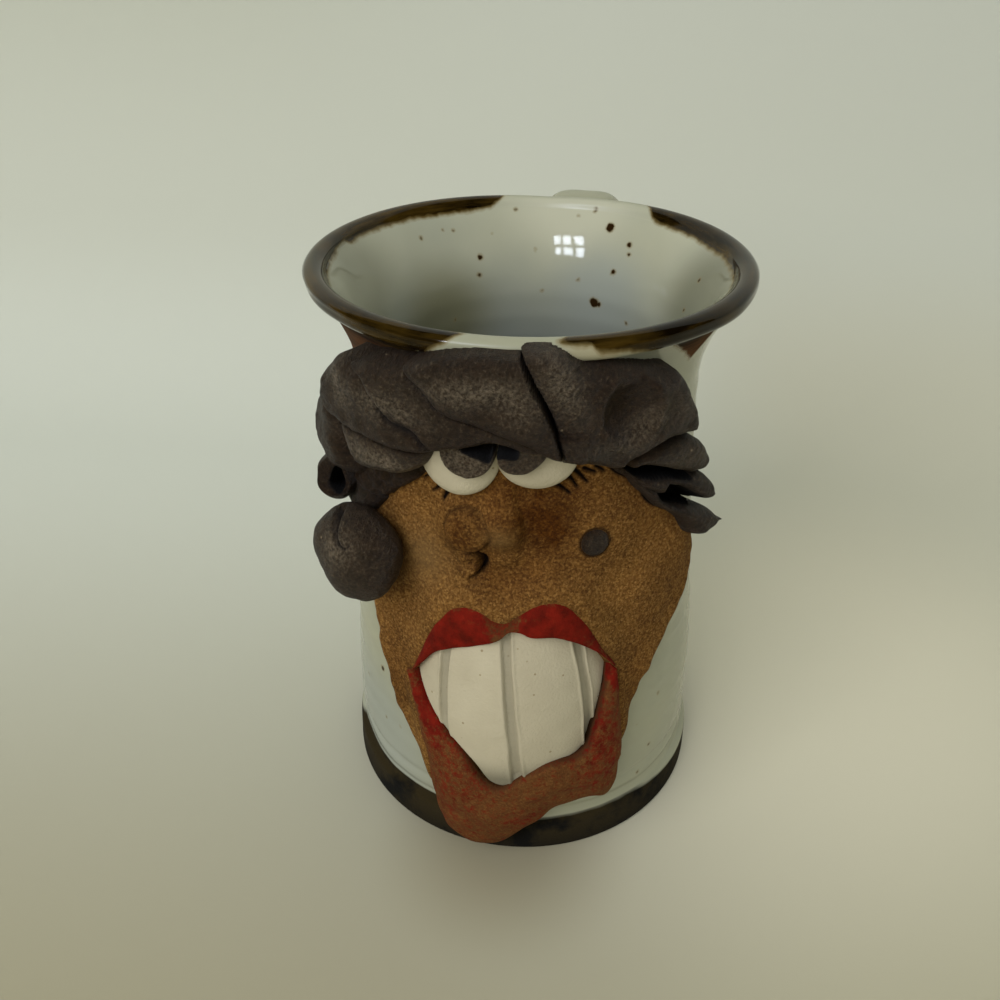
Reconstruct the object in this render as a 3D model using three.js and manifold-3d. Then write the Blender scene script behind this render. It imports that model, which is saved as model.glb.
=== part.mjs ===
// A stoneware face mug: a thrown mug with a flared rim and a pulled handle, and a comic face built on
// its front wall from separate slabs, rolls and buttons of clay.
// Millimetres, +Z up. The origin is on the mug's axis at the table. The face looks along -Y.
import * as THREE from "three";
import { mergeVertices } from "three/addons/utils/BufferGeometryUtils.js";
import Module from "manifold-3d";

// Thrown mug
const HEIGHT = 128;
const RIM_RADIUS = 45.2;
const LIP_ROLL = 2.3; // radius of the rounded lip
const NECK_RADIUS = 36.1;
const NECK_DROP = 23; // from the rim's top down to the narrowest place
const BELLY_RADIUS = 41.6;
const BELLY_HEIGHT = 17;
const FOOT_RADIUS = 42.6;
const FOOT_BAND = 9.3; // height of the bare band under the glaze line
const FOOT_CHAMFER = 0.9;
const GLAZE_STEP = 1.4; // how far the groove at the glaze line is cut in from the foot
const WALL = 4.6;
const FLOOR = 6.5;
const FLOOR_CORNER = 9; // radius between the floor and the wall inside

// Pulled handle
const HANDLE_WIDTH = 17.5;
const HANDLE_THICKNESS = 8.4;
const HANDLE_REACH = 31; // from the neck to the handle's outermost middle line
const HANDLE_TOP_DROP = 4.4; // from the rim's top down to the arch's middle line
const HANDLE_SPRING_DROP = 13; // from the rim's top down to the upper joint
const HANDLE_FOOT_HEIGHT = 41; // height of the lower joint
const HANDLE_TURN = THREE.MathUtils.degToRad(-9); // from straight behind the face, about +Z

// Face
const SLAB = 3.6; // thickness of the face slab
const GAP = 0.3; // clearance between one piece of clay and the next
const FACE_RADIUS = 40; // radius that lengths across the face are measured round
const LAYOUT_HEIGHT = 128; // height of the mug that the face's points below are laid out on

// Smoothness of the round forms
const LATHE_SIDES = 48;
const ROLL_SIDES = 12;
const ROLL_STEPS = 9;
const OUTLINE_STEPS = 52;

const neckHeight = HEIGHT - NECK_DROP;
const lipHeight = HEIGHT - LIP_ROLL;
const lipRadius = RIM_RADIUS - LIP_ROLL;

const materials = {
  glaze: new THREE.MeshStandardMaterial({ color: 0xc9cdc6, roughness: 0.22, metalness: 0 }),
  brownClay: new THREE.MeshStandardMaterial({ color: 0x8a5f38, roughness: 0.85, metalness: 0 }),
  darkClay: new THREE.MeshStandardMaterial({ color: 0x3a322d, roughness: 0.75, metalness: 0 }),
  whiteClay: new THREE.MeshStandardMaterial({ color: 0xd8d3c3, roughness: 0.7, metalness: 0 }),
  redSlip: new THREE.MeshStandardMaterial({ color: 0x8f2a22, roughness: 0.8, metalness: 0 }),
};

const wasm = await Module();
wasm.setup();

// The mug's outer wall without its flare: clay on the wall is placed from this.
function coreRadius(height) {
  const share = THREE.MathUtils.clamp((height - BELLY_HEIGHT) / (neckHeight - BELLY_HEIGHT), 0, 1);
  return THREE.MathUtils.lerp(BELLY_RADIUS, NECK_RADIUS, THREE.MathUtils.smoothstep(share, 0, 1));
}

// The flare from the neck up to the underside of the lip.
function flareRadius(height) {
  const share = (height - neckHeight) / (lipHeight - neckHeight);
  return NECK_RADIUS + (lipRadius + LIP_ROLL * 0.6 - NECK_RADIUS) * share ** 2;
}

// Outline of the mug from the table up its outer wall and round the lip, moved out by grow.
function outerProfile(grow) {
  const points = [
    [FOOT_RADIUS - FOOT_CHAMFER, 0],
    [FOOT_RADIUS, FOOT_CHAMFER],
    [FOOT_RADIUS, FOOT_BAND - GLAZE_STEP],
    [FOOT_RADIUS - GLAZE_STEP, FOOT_BAND],
  ];
  const wallSteps = 6;
  for (let i = 0; i <= wallSteps; i++) {
    const height = THREE.MathUtils.lerp(BELLY_HEIGHT - 4, neckHeight, i / wallSteps);
    points.push([coreRadius(height), height]);
  }
  const flareSteps = 4;
  for (let i = 1; i <= flareSteps; i++) {
    const height = THREE.MathUtils.lerp(neckHeight, lipHeight - LIP_ROLL, i / flareSteps);
    points.push([flareRadius(height), height]);
  }
  const grown = points.map(([radius, height]) => new THREE.Vector2(radius + grow, height));
  const lipSteps = 6;
  for (let i = 0; i <= lipSteps; i++) {
    const angle = THREE.MathUtils.degToRad(THREE.MathUtils.lerp(-30, 150, i / lipSteps));
    const reach = LIP_ROLL + grow;
    grown.push(new THREE.Vector2(lipRadius + reach * Math.cos(angle), lipHeight + reach * Math.sin(angle)));
  }
  return grown;
}

// Outline of the hollow from the lip down to the middle of the floor.
function innerProfile() {
  const points = [];
  const flareSteps = 3;
  for (let i = flareSteps; i >= 0; i--) {
    const height = THREE.MathUtils.lerp(neckHeight, lipHeight - LIP_ROLL, i / flareSteps);
    points.push(new THREE.Vector2(flareRadius(height) - WALL, height));
  }
  const wallSteps = 4;
  for (let i = wallSteps - 1; i >= 0; i--) {
    const height = THREE.MathUtils.lerp(FLOOR + FLOOR_CORNER, neckHeight, i / wallSteps);
    points.push(new THREE.Vector2(coreRadius(height) - WALL, height));
  }
  const cornerRadius = points.at(-1).x - FLOOR_CORNER;
  const cornerSteps = 3;
  for (let i = 1; i <= cornerSteps; i++) {
    const angle = (-Math.PI / 2) * (i / cornerSteps);
    points.push(new THREE.Vector2(
      cornerRadius + FLOOR_CORNER * Math.cos(angle),
      FLOOR + FLOOR_CORNER + FLOOR_CORNER * Math.sin(angle),
    ));
  }
  points.push(new THREE.Vector2(0, FLOOR));
  return points;
}

// A lathe turned about +Z.
function turned(profile) {
  const geometry = new THREE.LatheGeometry(profile, LATHE_SIDES);
  return geometry.rotateX(Math.PI / 2);
}

function mug() {
  const outline = [new THREE.Vector2(0, 0), ...outerProfile(0), ...innerProfile()];
  return turned(outline);
}

// The mug's outside as one filled form, larger all round by the clearance. Clay on the wall is cut by it.
function filledMug() {
  const outline = [new THREE.Vector2(0, -GAP), ...outerProfile(GAP)];
  outline[1].y = -GAP;
  outline.push(new THREE.Vector2(0, HEIGHT + GAP));
  return turned(outline);
}

// A point on the clay laid on the wall: across is round the wall from the face's middle line, up is the
// height above the table, and out is the distance from the wall.
function place(across, up, out) {
  const height = (up * HEIGHT) / LAYOUT_HEIGHT;
  const turn = across / FACE_RADIUS;
  const reach = coreRadius(height) + out;
  return new THREE.Vector3(reach * Math.sin(turn), -reach * Math.cos(turn), height);
}

// Points that run along a piece of clay, each [across, up, out].
function line(...points) {
  return points.map(([across, up, out]) => place(across, up, out));
}

// The direction straight out from the wall at a point.
function outward(point) {
  return new THREE.Vector3(point.x, point.y, 0).normalize();
}

// A closed body through a row of closed sections with as many points each. Its two ends are fans.
function loft(sections) {
  const sides = sections[0].length;
  const points = sections.flat();
  const index = [];
  for (let i = 0; i + 1 < sections.length; i++) {
    for (let j = 0; j < sides; j++) {
      const a = i * sides + j;
      const b = i * sides + ((j + 1) % sides);
      index.push(a, b, a + sides, b, b + sides, a + sides);
    }
  }
  for (const [first, flip] of [[0, true], [(sections.length - 1) * sides, false]]) {
    const middle = points.length;
    const centre = new THREE.Vector3();
    for (let j = 0; j < sides; j++) centre.add(points[first + j]);
    points.push(centre.divideScalar(sides));
    for (let j = 0; j < sides; j++) {
      const a = first + j;
      const b = first + ((j + 1) % sides);
      index.push(...(flip ? [a, middle, b] : [a, b, middle]));
    }
  }
  const geometry = new THREE.BufferGeometry().setFromPoints(points);
  geometry.setIndex(index);
  return geometry;
}

// A value along a list, at a share from 0 to 1.
function along(list, share) {
  if (typeof list === "number") return list;
  const at = share * (list.length - 1);
  const low = Math.min(Math.floor(at), list.length - 2);
  return THREE.MathUtils.lerp(list[low], list[low + 1], at - low);
}

// A roll of clay along a spine of points. Its width lies on the wall; it rises outwards by rise and is
// pressed back towards the wall by root. The blunt value sets how square its two ends are.
function roll(spine, { width, rise, root, side = null, blunt = 0.5, steps = ROLL_STEPS }) {
  const curve = new THREE.CatmullRomCurve3(spine, false, "centripetal");
  const sections = [];
  for (let i = 0; i <= steps; i++) {
    // Steps crowd towards the ends, where the roll rounds off.
    const share = (1 - Math.cos((Math.PI * (i + 0.35)) / (steps + 0.7))) / 2;
    const centre = curve.getPointAt(share);
    const tangent = curve.getTangentAt(share);
    const across = side ? side.clone() : new THREE.Vector3().crossVectors(outward(centre), tangent).normalize();
    const out = new THREE.Vector3().crossVectors(tangent, across).normalize();
    const swell = Math.max(1 - (2 * share - 1) ** 2, 0) ** blunt;
    const section = [];
    for (let j = 0; j < ROLL_SIDES; j++) {
      const angle = (2 * Math.PI * j) / ROLL_SIDES;
      const lift = Math.sin(angle) * along(Math.sin(angle) > 0 ? rise : root, share) * swell;
      const spread = (Math.cos(angle) * along(width, share) * swell) / 2;
      section.push(centre.clone().addScaledVector(across, spread).addScaledVector(out, lift));
    }
    sections.push(section);
  }
  return loft(sections);
}

// A flat strip between two edge lines, with a face that crowns by bulge and a back pressed to the wall.
// The left edge is the one on the left of the way that both lines run, seen from outside.
function strip(leftEdge, rightEdge, { bulge, root, steps = 18 }) {
  const left = new THREE.CatmullRomCurve3(leftEdge, false, "centripetal");
  const right = new THREE.CatmullRomCurve3(rightEdge, false, "centripetal");
  const faceSteps = 6;
  const sections = [];
  for (let i = 0; i <= steps; i++) {
    const share = i / steps;
    const a = left.getPoint(share);
    const b = right.getPoint(share);
    const section = [];
    for (let j = 0; j <= faceSteps; j++) {
      const t = j / faceSteps;
      const point = a.clone().lerp(b, t);
      const crown = bulge * Math.sin(Math.PI * t) ** 0.6 - (bulge * 0.5 * (t === 0 || t === 1 ? 1 : 0));
      section.push(point.addScaledVector(outward(point), crown));
    }
    for (const point of [b, a]) section.push(point.clone().addScaledVector(outward(point), -root));
    sections.push(section);
  }
  return loft(sections);
}

// A pressed button or ball of clay, with its flat axis straight out from the wall.
function button(across, up, out, halfWidth, halfHeight, halfDepth, rows = 8) {
  const centre = place(across, up, out);
  const geometry = new THREE.SphereGeometry(1, 16, rows).rotateX(Math.PI / 2);
  geometry.scale(halfWidth, halfHeight, halfDepth);
  const axis = outward(centre);
  const frame = new THREE.Matrix4().makeBasis(
    new THREE.Vector3().crossVectors(new THREE.Vector3(0, 0, 1), axis),
    new THREE.Vector3(0, 0, 1),
    axis,
  );
  return geometry.applyMatrix4(frame).translate(centre.x, centre.y, centre.z);
}

// A short tube standing out from the wall: the open end of a clay ringlet.
function ringlet(across, up, out, radius, bore, length) {
  const mouth = place(across, up, out);
  const axis = outward(mouth);
  const profile = [
    [bore, 0],
    [(radius + bore) / 2, 0.7],
    [radius, -0.9],
    [radius, -length],
    [bore, -length],
    [bore, 0],
  ].map(([r, y]) => new THREE.Vector2(r, y));
  const geometry = new THREE.LatheGeometry(profile.reverse(), 16);
  const turn = new THREE.Quaternion().setFromUnitVectors(new THREE.Vector3(0, 1, 0), axis);
  return geometry.applyQuaternion(turn).translate(mouth.x, mouth.y, mouth.z);
}

// Everything behind an outline drawn on the wall, as a wedge that points at the mug's axis. The rings
// between its ends keep its sides true where they pass through the clay.
function wedge(outline) {
  const curve = new THREE.CatmullRomCurve3(line(...outline.map(([across, up]) => [across, up, 0])), true);
  const edge = curve.getPoints(OUTLINE_STEPS).slice(0, -1);
  const rings = [0.1, 0.96, 1.06, 1.16, 1.28, 2.6].map((scale) => (
    edge.map((point) => new THREE.Vector3(point.x * scale, point.y * scale, point.z))
  ));
  const spread = edge.map((point) => new THREE.Vector2(Math.atan2(point.x, -point.y) * FACE_RADIUS, point.z));
  const caps = THREE.ShapeUtils.triangulateShape(spread, []);
  const last = (rings.length - 1) * edge.length;
  const index = [];
  for (const [a, b, c] of caps) index.push(a, c, b, a + last, b + last, c + last);
  for (let i = 0; i + 1 < rings.length; i++) {
    for (let j = 0; j < edge.length; j++) {
      const a = i * edge.length + j;
      const b = i * edge.length + ((j + 1) % edge.length);
      index.push(a, b, a + edge.length, b, b + edge.length, a + edge.length);
    }
  }
  const geometry = new THREE.BufferGeometry().setFromPoints(rings.flat());
  geometry.setIndex(index);
  return geometry;
}

// A closed geometry as a solid, moved out along its vertex normals by grow.
function solidOf(geometry, grow = 0) {
  const bare = geometry.clone();
  for (const name of Object.keys(bare.attributes)) if (name !== "position") bare.deleteAttribute(name);
  const merged = mergeVertices(bare, 1e-4);
  if (grow) {
    merged.computeVertexNormals();
    const { position, normal } = merged.attributes;
    for (let i = 0; i < position.count; i++) {
      position.setXYZ(
        i,
        position.getX(i) + normal.getX(i) * grow,
        position.getY(i) + normal.getY(i) * grow,
        position.getZ(i) + normal.getZ(i) * grow,
      );
    }
  }
  return new wasm.Manifold(new wasm.Mesh({
    numProp: 3,
    vertProperties: merged.attributes.position.array,
    triVerts: new Uint32Array(merged.index.array),
  }));
}

// A solid moved out all round by the clearance.
function grown(solid) {
  return solidOf(geometryOf(solid), GAP);
}

// The largest body of a solid, without the slivers that a cut can leave.
function largest(solid) {
  return solid.decompose().reduce((best, body) => (body.volume() > best.volume() ? body : best));
}

function geometryOf(solid) {
  const { vertProperties, triVerts } = solid.getMesh();
  const geometry = new THREE.BufferGeometry();
  geometry.setAttribute("position", new THREE.BufferAttribute(vertProperties, 3));
  geometry.setIndex(new THREE.BufferAttribute(triVerts, 1));
  geometry.computeVertexNormals();
  return geometry;
}

function meshOf(name, solid, material) {
  const mesh = new THREE.Mesh(geometryOf(solid), material);
  mesh.name = name;
  return mesh;
}

// The strap handle, drawn straight behind the face and then turned.
function handle() {
  const middle = (radius, height) => new THREE.Vector3(0, radius, height);
  const top = HEIGHT - HANDLE_TOP_DROP;
  const spring = HEIGHT - HANDLE_SPRING_DROP;
  const spine = [
    middle(coreRadius(spring) - WALL / 2, spring - 2.5),
    middle(NECK_RADIUS + HANDLE_REACH * 0.21, spring + 4.5),
    middle(NECK_RADIUS + HANDLE_REACH * 0.46, top),
    middle(NECK_RADIUS + HANDLE_REACH * 0.73, top - 3.4),
    middle(NECK_RADIUS + HANDLE_REACH * 0.94, top - 15),
    middle(NECK_RADIUS + HANDLE_REACH, top - 32),
    middle(NECK_RADIUS + HANDLE_REACH * 0.93, HANDLE_FOOT_HEIGHT + 31),
    middle(NECK_RADIUS + HANDLE_REACH * 0.69, HANDLE_FOOT_HEIGHT + 12),
    middle(NECK_RADIUS + HANDLE_REACH * 0.4, HANDLE_FOOT_HEIGHT + 3),
    middle(coreRadius(HANDLE_FOOT_HEIGHT) - WALL / 2, HANDLE_FOOT_HEIGHT - 2),
  ];
  return roll(spine, {
    width: [1.3, 1.12, 1.05, 1.02, 0.96, 0.9, 0.85, 0.85, 0.9, 1.05].map((share) => share * HANDLE_WIDTH),
    rise: HANDLE_THICKNESS / 2,
    root: HANDLE_THICKNESS / 2,
    side: new THREE.Vector3(-1, 0, 0),
    blunt: 0.16,
    steps: 26,
  }).rotateZ(HANDLE_TURN);
}

// Rolls of dark clay laid round the neck, from the ones on top to the ones tucked under.
const hair = {
  hair_lobe_crown_left: roll(
    line([-12.6, 122.4, 5.6], [-6.6, 119.6, 8.8], [1, 114.4, 9.8], [9.4, 108.2, 7.6]),
    { width: [12, 15, 14, 8], rise: 4.4, root: 11, blunt: 0.35 },
  ),
  hair_lobe_temple_left: roll(
    line([-18.6, 121, 5.4], [-18.6, 115.6, 9.6], [-12.4, 111.6, 10], [-3.6, 110, 8.4], [5, 109.2, 6.2]),
    { width: [13, 15, 12.5, 7, 4], rise: [3.4, 4.2, 4, 3, 2], root: 10, blunt: 0.35 },
  ),
  hair_lobe_brow_left: roll(
    line([-30, 106, 6.6], [-23.5, 101.6, 8.6], [-17, 101.6, 9], [-10.4, 106, 7]),
    { width: [7, 9, 9, 6], rise: 3.8, root: 9, blunt: 0.42 },
  ),
  hair_lobe_side_left: roll(
    line([-23.4, 119, 5.6], [-28.2, 111.8, 8.8], [-26, 106, 9], [-16, 105.6, 7.4]),
    { width: [12, 14, 12, 6], rise: 4, root: 9, blunt: 0.38 },
  ),
  hair_lobe_back_left: roll(
    line([-33, 109.6, 4.6], [-37.2, 103, 7.8], [-36.4, 97, 7.8], [-30, 93.4, 6.2]),
    { width: [10, 13, 12, 7], rise: 3.8, root: 8.5, blunt: 0.4 },
  ),
  hair_curl_right_upper: roll(
    line([20, 105, 6.2], [29, 102.4, 6.6], [37, 98, 6.2], [44.2, 93.4, 4.6]),
    { width: [5, 8.5, 9, 8], rise: 3, root: [6, 6, 6, 4], blunt: 0.36 },
  ),
  hair_curl_right_middle: roll(
    line([22, 99.4, 4.4], [31, 94.8, 5.8], [38.5, 91.6, 6.6], [45, 88.8, 6.4]),
    { width: [4, 4.4, 4.4, 4.2], rise: 2.6, root: [5, 5, 5, 3], blunt: 0.36 },
  ),
  hair_curl_right_lower: roll(
    line([21, 97.4, 3.2], [29, 89.8, 5], [36.4, 85.2, 6.6], [42.4, 82.4, 8.4]),
    { width: [4, 5.5, 6.5, 5.5], rise: 2.6, root: [4, 5, 5.5, 5], blunt: 0.36 },
  ),
  hair_ringlet_left: ringlet(-34.6, 91, 10.2, 3.9, 1.7, 8),
  hair_ball_left: button(-26.6, 78.6, 10.4, 9.3, 10, 7.6, 12),
  hair_ball_flap_left: roll(
    line([-30.6, 88.4, 7.4], [-35.6, 84.2, 10], [-37.8, 77.5, 10.8], [-34.8, 70, 8.6]),
    { width: [4.5, 6, 7, 5], rise: 2.2, root: 6, blunt: 0.4 },
  ),
  hair_stem_left: roll(
    line([-30, 89.4, 6.8], [-24, 92, 7.2], [-18, 94.6, 7], [-12, 99, 5.4]),
    { width: [6, 6, 5.5, 4.5], rise: 2.8, root: 6, blunt: 0.36 },
  ),
};

// The widest lobe: a roll by the crown whose right half was pressed out flat with a thumb.
function hairFoldRight() {
  const ridge = roll(
    line([3, 126.4, 6.8], [7, 122, 9], [11.4, 114.5, 9.8], [15, 106, 7.4]),
    { width: [10, 12.5, 12.5, 10], rise: 4.4, root: 11, blunt: 0.33 },
  );
  const pressed = roll(
    line([11, 117, 6.4], [18.5, 113.4, 8.2], [27, 108.4, 7.6], [37, 103, 5]),
    { width: [18, 21, 20, 18], rise: 3.6, root: 9, blunt: 0.3 },
  );
  const dish = button(20, 114, 17, 9, 8.4, 6.6, 6);
  return solidOf(ridge).add(solidOf(pressed)).subtract(solidOf(dish));
}

const eyes = {
  pupil_left: button(-5.8, 106.8, 7.2, 5.2, 5.6, 2.2),
  pupil_right: button(3.5, 107.4, 7.4, 4.9, 5.3, 2.2),
  eyeball_left: button(-8.2, 104.3, 4.2, 7.6, 8.6, 3.4),
  eyeball_right: button(5.2, 104.8, 4.2, 7, 6.2, 3.2),
};

const features = {
  nose: roll(
    line([1.2, 102, 4.6], [0.4, 97, 6], [0.3, 92.5, 7.4], [1.4, 88.5, 7.6], [1.2, 84.6, 5.4]),
    { width: [5, 7, 10, 11.5, 8], rise: [0.8, 1.8, 3, 3.2, 1.6], root: 5, blunt: 0.45 },
  ),
  nostril_left: button(-5.8, 89, 5.4, 4.4, 4.6, 2.8),
  upper_lip: strip(
    line([-18.6, 52.4, 4], [-15.2, 61.4, 5.2], [-8.6, 70.6, 6.2], [-1, 69.4, 6.2], [6.2, 73.2, 6.2], [13, 71.6, 5.8],
      [18.2, 62, 5], [20.8, 56.2, 4]),
    line([-17.4, 51.6, 5], [-12, 58.8, 6.6], [-5.4, 63, 8.2], [0.4, 66, 8.6], [6, 67.4, 8.4], [12.6, 64.8, 7.6],
      [17, 60, 6], [20, 55.6, 4.6]),
    { bulge: 1.3, root: 6 },
  ),
  lower_lip: strip(
    line([-17.8, 51, 4.4], [-11.4, 43.8, 7.6], [-6, 37.2, 9.6], [-2.4, 31, 10.4], [0.2, 29.4, 10.4], [5, 34, 10.6],
      [11, 37, 10], [16.2, 39.8, 8.6], [18, 45.6, 7.6], [19, 51, 6], [20.2, 55, 4.4]),
    line([-19.6, 50.4, 3.6], [-16.4, 40, 4.8], [-14.4, 29, 5], [-10.8, 15.6, 5.2], [-2.6, 7.6, 4.6], [6, 12.4, 5.6],
      [13.5, 18, 5.6], [21.4, 19.6, 5], [23.4, 31, 4.6], [23, 42, 4.4], [22.2, 53.6, 3.6]),
    { bulge: 1.6, root: 6, steps: 24 },
  ),
};

// The white slab behind the lips: a shallow dome trimmed to the mouth's outline, with three tooth lines.
function teeth() {
  const outline = [
    [-17.6, 51.6], [-9.6, 42], [-4.4, 35.6], [-1.8, 30.2], [0.8, 29], [5, 32.6], [12, 36], [17, 39],
    [19, 46], [20.2, 55.2], [17.4, 62], [12.6, 68], [6, 70.4], [0, 69], [-6, 66.4], [-12.6, 61],
  ];
  const centre = place(1, 42, -14);
  const dome = new THREE.SphereGeometry(1, 30, 18).scale(23, 25, 39);
  dome.rotateZ(1 / FACE_RADIUS);
  dome.translate(centre.x, centre.y, centre.z);
  let slab = solidOf(wedge(outline)).intersect(solidOf(dome));
  const grooves = [
    line([-10, 66, 7.6], [-9.8, 52, 8.4], [-8.8, 38, 9.6]),
    line([0.4, 72, 7], [1.8, 53.6, 11.2], [3.6, 30, 10.8]),
    line([13, 70, 6], [15, 53.6, 9.2], [16.4, 36, 9]),
  ];
  for (const groove of grooves) {
    const cut = roll(groove, { width: 1.5, rise: 2.6, root: 0.9, blunt: 0.2, steps: 8 });
    slab = slab.subtract(solidOf(cut));
  }
  return slab;
}

// The rolled-out slab that carries the face, wrapped round the wall.
function faceSlab() {
  const outline = [
    [-15, 109], [-25, 102], [-31, 91], [-33.4, 79], [-32.4, 69], [-30.6, 60.3], [-28.2, 51.6], [-25.8, 46.8],
    [-24.2, 42], [-20.9, 35.9], [-16.9, 29.7], [-12.6, 22], [0, 24], [14, 22], [20.4, 22.4], [22.6, 28],
    [23.6, 34.9], [25.8, 40.1], [27.4, 45.1], [29.4, 48.6], [31.8, 51.6], [35.2, 56.2], [40.6, 61], [44.2, 67],
    [44.4, 73], [43, 81], [38, 92], [28, 102], [16, 109],
  ];
  const profile = [];
  const steps = 10;
  const top = (112 * HEIGHT) / LAYOUT_HEIGHT;
  const bottom = FOOT_BAND + 4;
  for (let i = 0; i <= steps; i++) {
    const height = THREE.MathUtils.lerp(bottom, top, i / steps);
    profile.push(new THREE.Vector2(coreRadius(height) + SLAB, height));
  }
  const layer = turned([new THREE.Vector2(0, bottom), ...profile, new THREE.Vector2(0, top)]);
  return solidOf(wedge(outline)).intersect(solidOf(layer));
}

const spot = button(17.3, 84.7, SLAB - 0.2, 2.6, 2.7, 1.4);

const model = new THREE.Group();
const cutters = [solidOf(filledMug())];

// Adds a piece of clay, cut back from the wall and from every piece laid before it.
function lay(name, solid, clearance, material) {
  let cut = solid;
  for (const cutter of cutters) cut = cut.subtract(cutter);
  model.add(meshOf(name, largest(cut), material));
  if (clearance) cutters.push(clearance);
}

function layGeometry(name, geometry, material) {
  lay(name, solidOf(geometry), solidOf(geometry, GAP), material);
}

model.add(meshOf("mug_body", solidOf(mug()), materials.glaze));
layGeometry("handle", handle(), materials.glaze);
const fold = hairFoldRight();
lay("hair_fold_right", fold, grown(fold), materials.darkClay);
for (const [name, geometry] of Object.entries(hair)) layGeometry(name, geometry, materials.darkClay);
for (const [name, geometry] of Object.entries(eyes)) {
  layGeometry(name, geometry, name.startsWith("pupil") ? materials.darkClay : materials.whiteClay);
}
layGeometry("nose", features.nose, materials.brownClay);
layGeometry("nostril_left", features.nostril_left, materials.brownClay);
layGeometry("upper_lip", features.upper_lip, materials.redSlip);
layGeometry("lower_lip", features.lower_lip, materials.redSlip);
layGeometry("beauty_spot", spot, materials.darkClay);

const teethSolid = teeth();
lay("teeth", teethSolid, null, materials.whiteClay);
lay("face_slab", faceSlab().subtract(teethSolid), null, materials.brownClay);

export default model;
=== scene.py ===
"""A stoneware face mug on a pale paper sweep: a thrown and glazed mug with a comic clay face on its wall."""
import math

import bmesh
import bpy
import numpy as np
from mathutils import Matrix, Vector, noise


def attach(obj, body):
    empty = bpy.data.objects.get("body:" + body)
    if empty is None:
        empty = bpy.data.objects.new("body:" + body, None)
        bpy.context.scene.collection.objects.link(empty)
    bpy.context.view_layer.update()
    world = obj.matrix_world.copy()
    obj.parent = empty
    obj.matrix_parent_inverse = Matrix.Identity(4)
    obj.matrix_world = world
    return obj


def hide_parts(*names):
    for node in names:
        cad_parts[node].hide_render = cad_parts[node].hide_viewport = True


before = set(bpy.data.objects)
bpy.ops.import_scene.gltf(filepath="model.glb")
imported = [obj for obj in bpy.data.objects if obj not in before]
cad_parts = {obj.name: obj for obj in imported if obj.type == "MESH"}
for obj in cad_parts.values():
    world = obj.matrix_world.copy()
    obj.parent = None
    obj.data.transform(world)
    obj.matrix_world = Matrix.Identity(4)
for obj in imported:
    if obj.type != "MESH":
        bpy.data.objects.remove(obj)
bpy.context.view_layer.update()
scene = bpy.context.scene

# Camera. It stands a little to the viewer's right of the face and looks down into the mug.
camera_data = bpy.data.cameras.new("camera")
camera_data.lens = 35.28
camera_data.sensor_width = 36.0
camera_data.clip_start = 0.01
camera = bpy.data.objects.new("camera", camera_data)
camera.location = (0.01834, -0.19050, 0.19165)
camera.rotation_euler = (math.radians(90 - 32.6), 0.0, math.radians(7.28))
scene.collection.objects.link(camera)
scene.camera = camera


# Paper sweep. One sheet of matt off-white paper that lies under the mug and curves up behind it.
# Its colour is painted light and shade: greyer towards the viewer and greenest at the left, as paper
# looks in window light.
def paint(hex_colour):
    """An sRGB hex colour as a linear colour with alpha."""
    parts = [int(hex_colour[i:i + 2], 16) / 255 for i in (1, 3, 5)]
    return [p / 12.92 if p <= 0.04045 else ((p + 0.055) / 1.055) ** 2.4 for p in parts] + [1.0]


def add(tree, kind, settings=(), links=()):
    """Adds a shader node, gives its settings or socket values, and links sources into its sockets."""
    made = tree.nodes.new("ShaderNode" + kind)
    for name, value in dict(settings).items():
        if isinstance(name, int) or name in made.inputs:
            made.inputs[name].default_value = value
        else:
            setattr(made, name, value)
    for name, source in dict(links).items():
        tree.links.new(getattr(source, "outputs", [source])[0], made.inputs[name])
    return made


def finish_of(name, settings):
    """A material, its node tree, its Principled shader, and each point's place on the object in metres."""
    made = bpy.data.materials.new(name)
    made.use_nodes = True
    tree = made.node_tree
    tree.nodes.clear()
    shader = add(tree, "BsdfPrincipled", settings)
    add(tree, "OutputMaterial", {}, {"Surface": shader})
    return made, tree, shader, add(tree, "TexCoord").outputs["Object"]


def soft_spot(tree, source, middle, full, none, most):
    """A share that is most within the distance full of a place, in metres, and fades to 0 at none."""
    away = add(tree, "VectorMath", {"operation": "DISTANCE", 1: middle}, {0: source})
    return add(tree, "MapRange", {"From Min": full, "From Max": none, "To Min": most, "To Max": 0.0,
                                  "interpolation_type": "SMOOTHSTEP"}, {"Value": away.outputs["Value"]})


sweep_front, sweep_turn, sweep_radius, sweep_top, sweep_side = -900.0, 130.0, 150.0, 900.0, 1400.0
bend_steps = 24
sweep_lines = [(sweep_front, 0.0)]
for step in range(bend_steps + 1):
    angle = math.pi / 2 * step / bend_steps
    sweep_lines.append((sweep_turn + sweep_radius * math.sin(angle), sweep_radius * (1 - math.cos(angle))))
sweep_lines.append((sweep_turn + sweep_radius, sweep_top))
sweep_mesh = bpy.data.meshes.new("paper_sweep")
sweep_mesh.from_pydata(
    [(x * 0.001, y * 0.001, z * 0.001) for y, z in sweep_lines for x in (-sweep_side, sweep_side)], [],
    [(2 * i, 2 * i + 1, 2 * i + 3, 2 * i + 2) for i in range(len(sweep_lines) - 1)],
)
sweep_mesh.polygons.foreach_set("use_smooth", [True] * len(sweep_mesh.polygons))
sweep = bpy.data.objects.new("paper_sweep", sweep_mesh)
scene.collection.objects.link(sweep)

paper, tree, shader, place_socket = finish_of("matt_paper", {"Roughness": 0.9, "Specular IOR Level": 0.1})
split = add(tree, "SeparateXYZ", {}, {0: place_socket})
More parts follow.
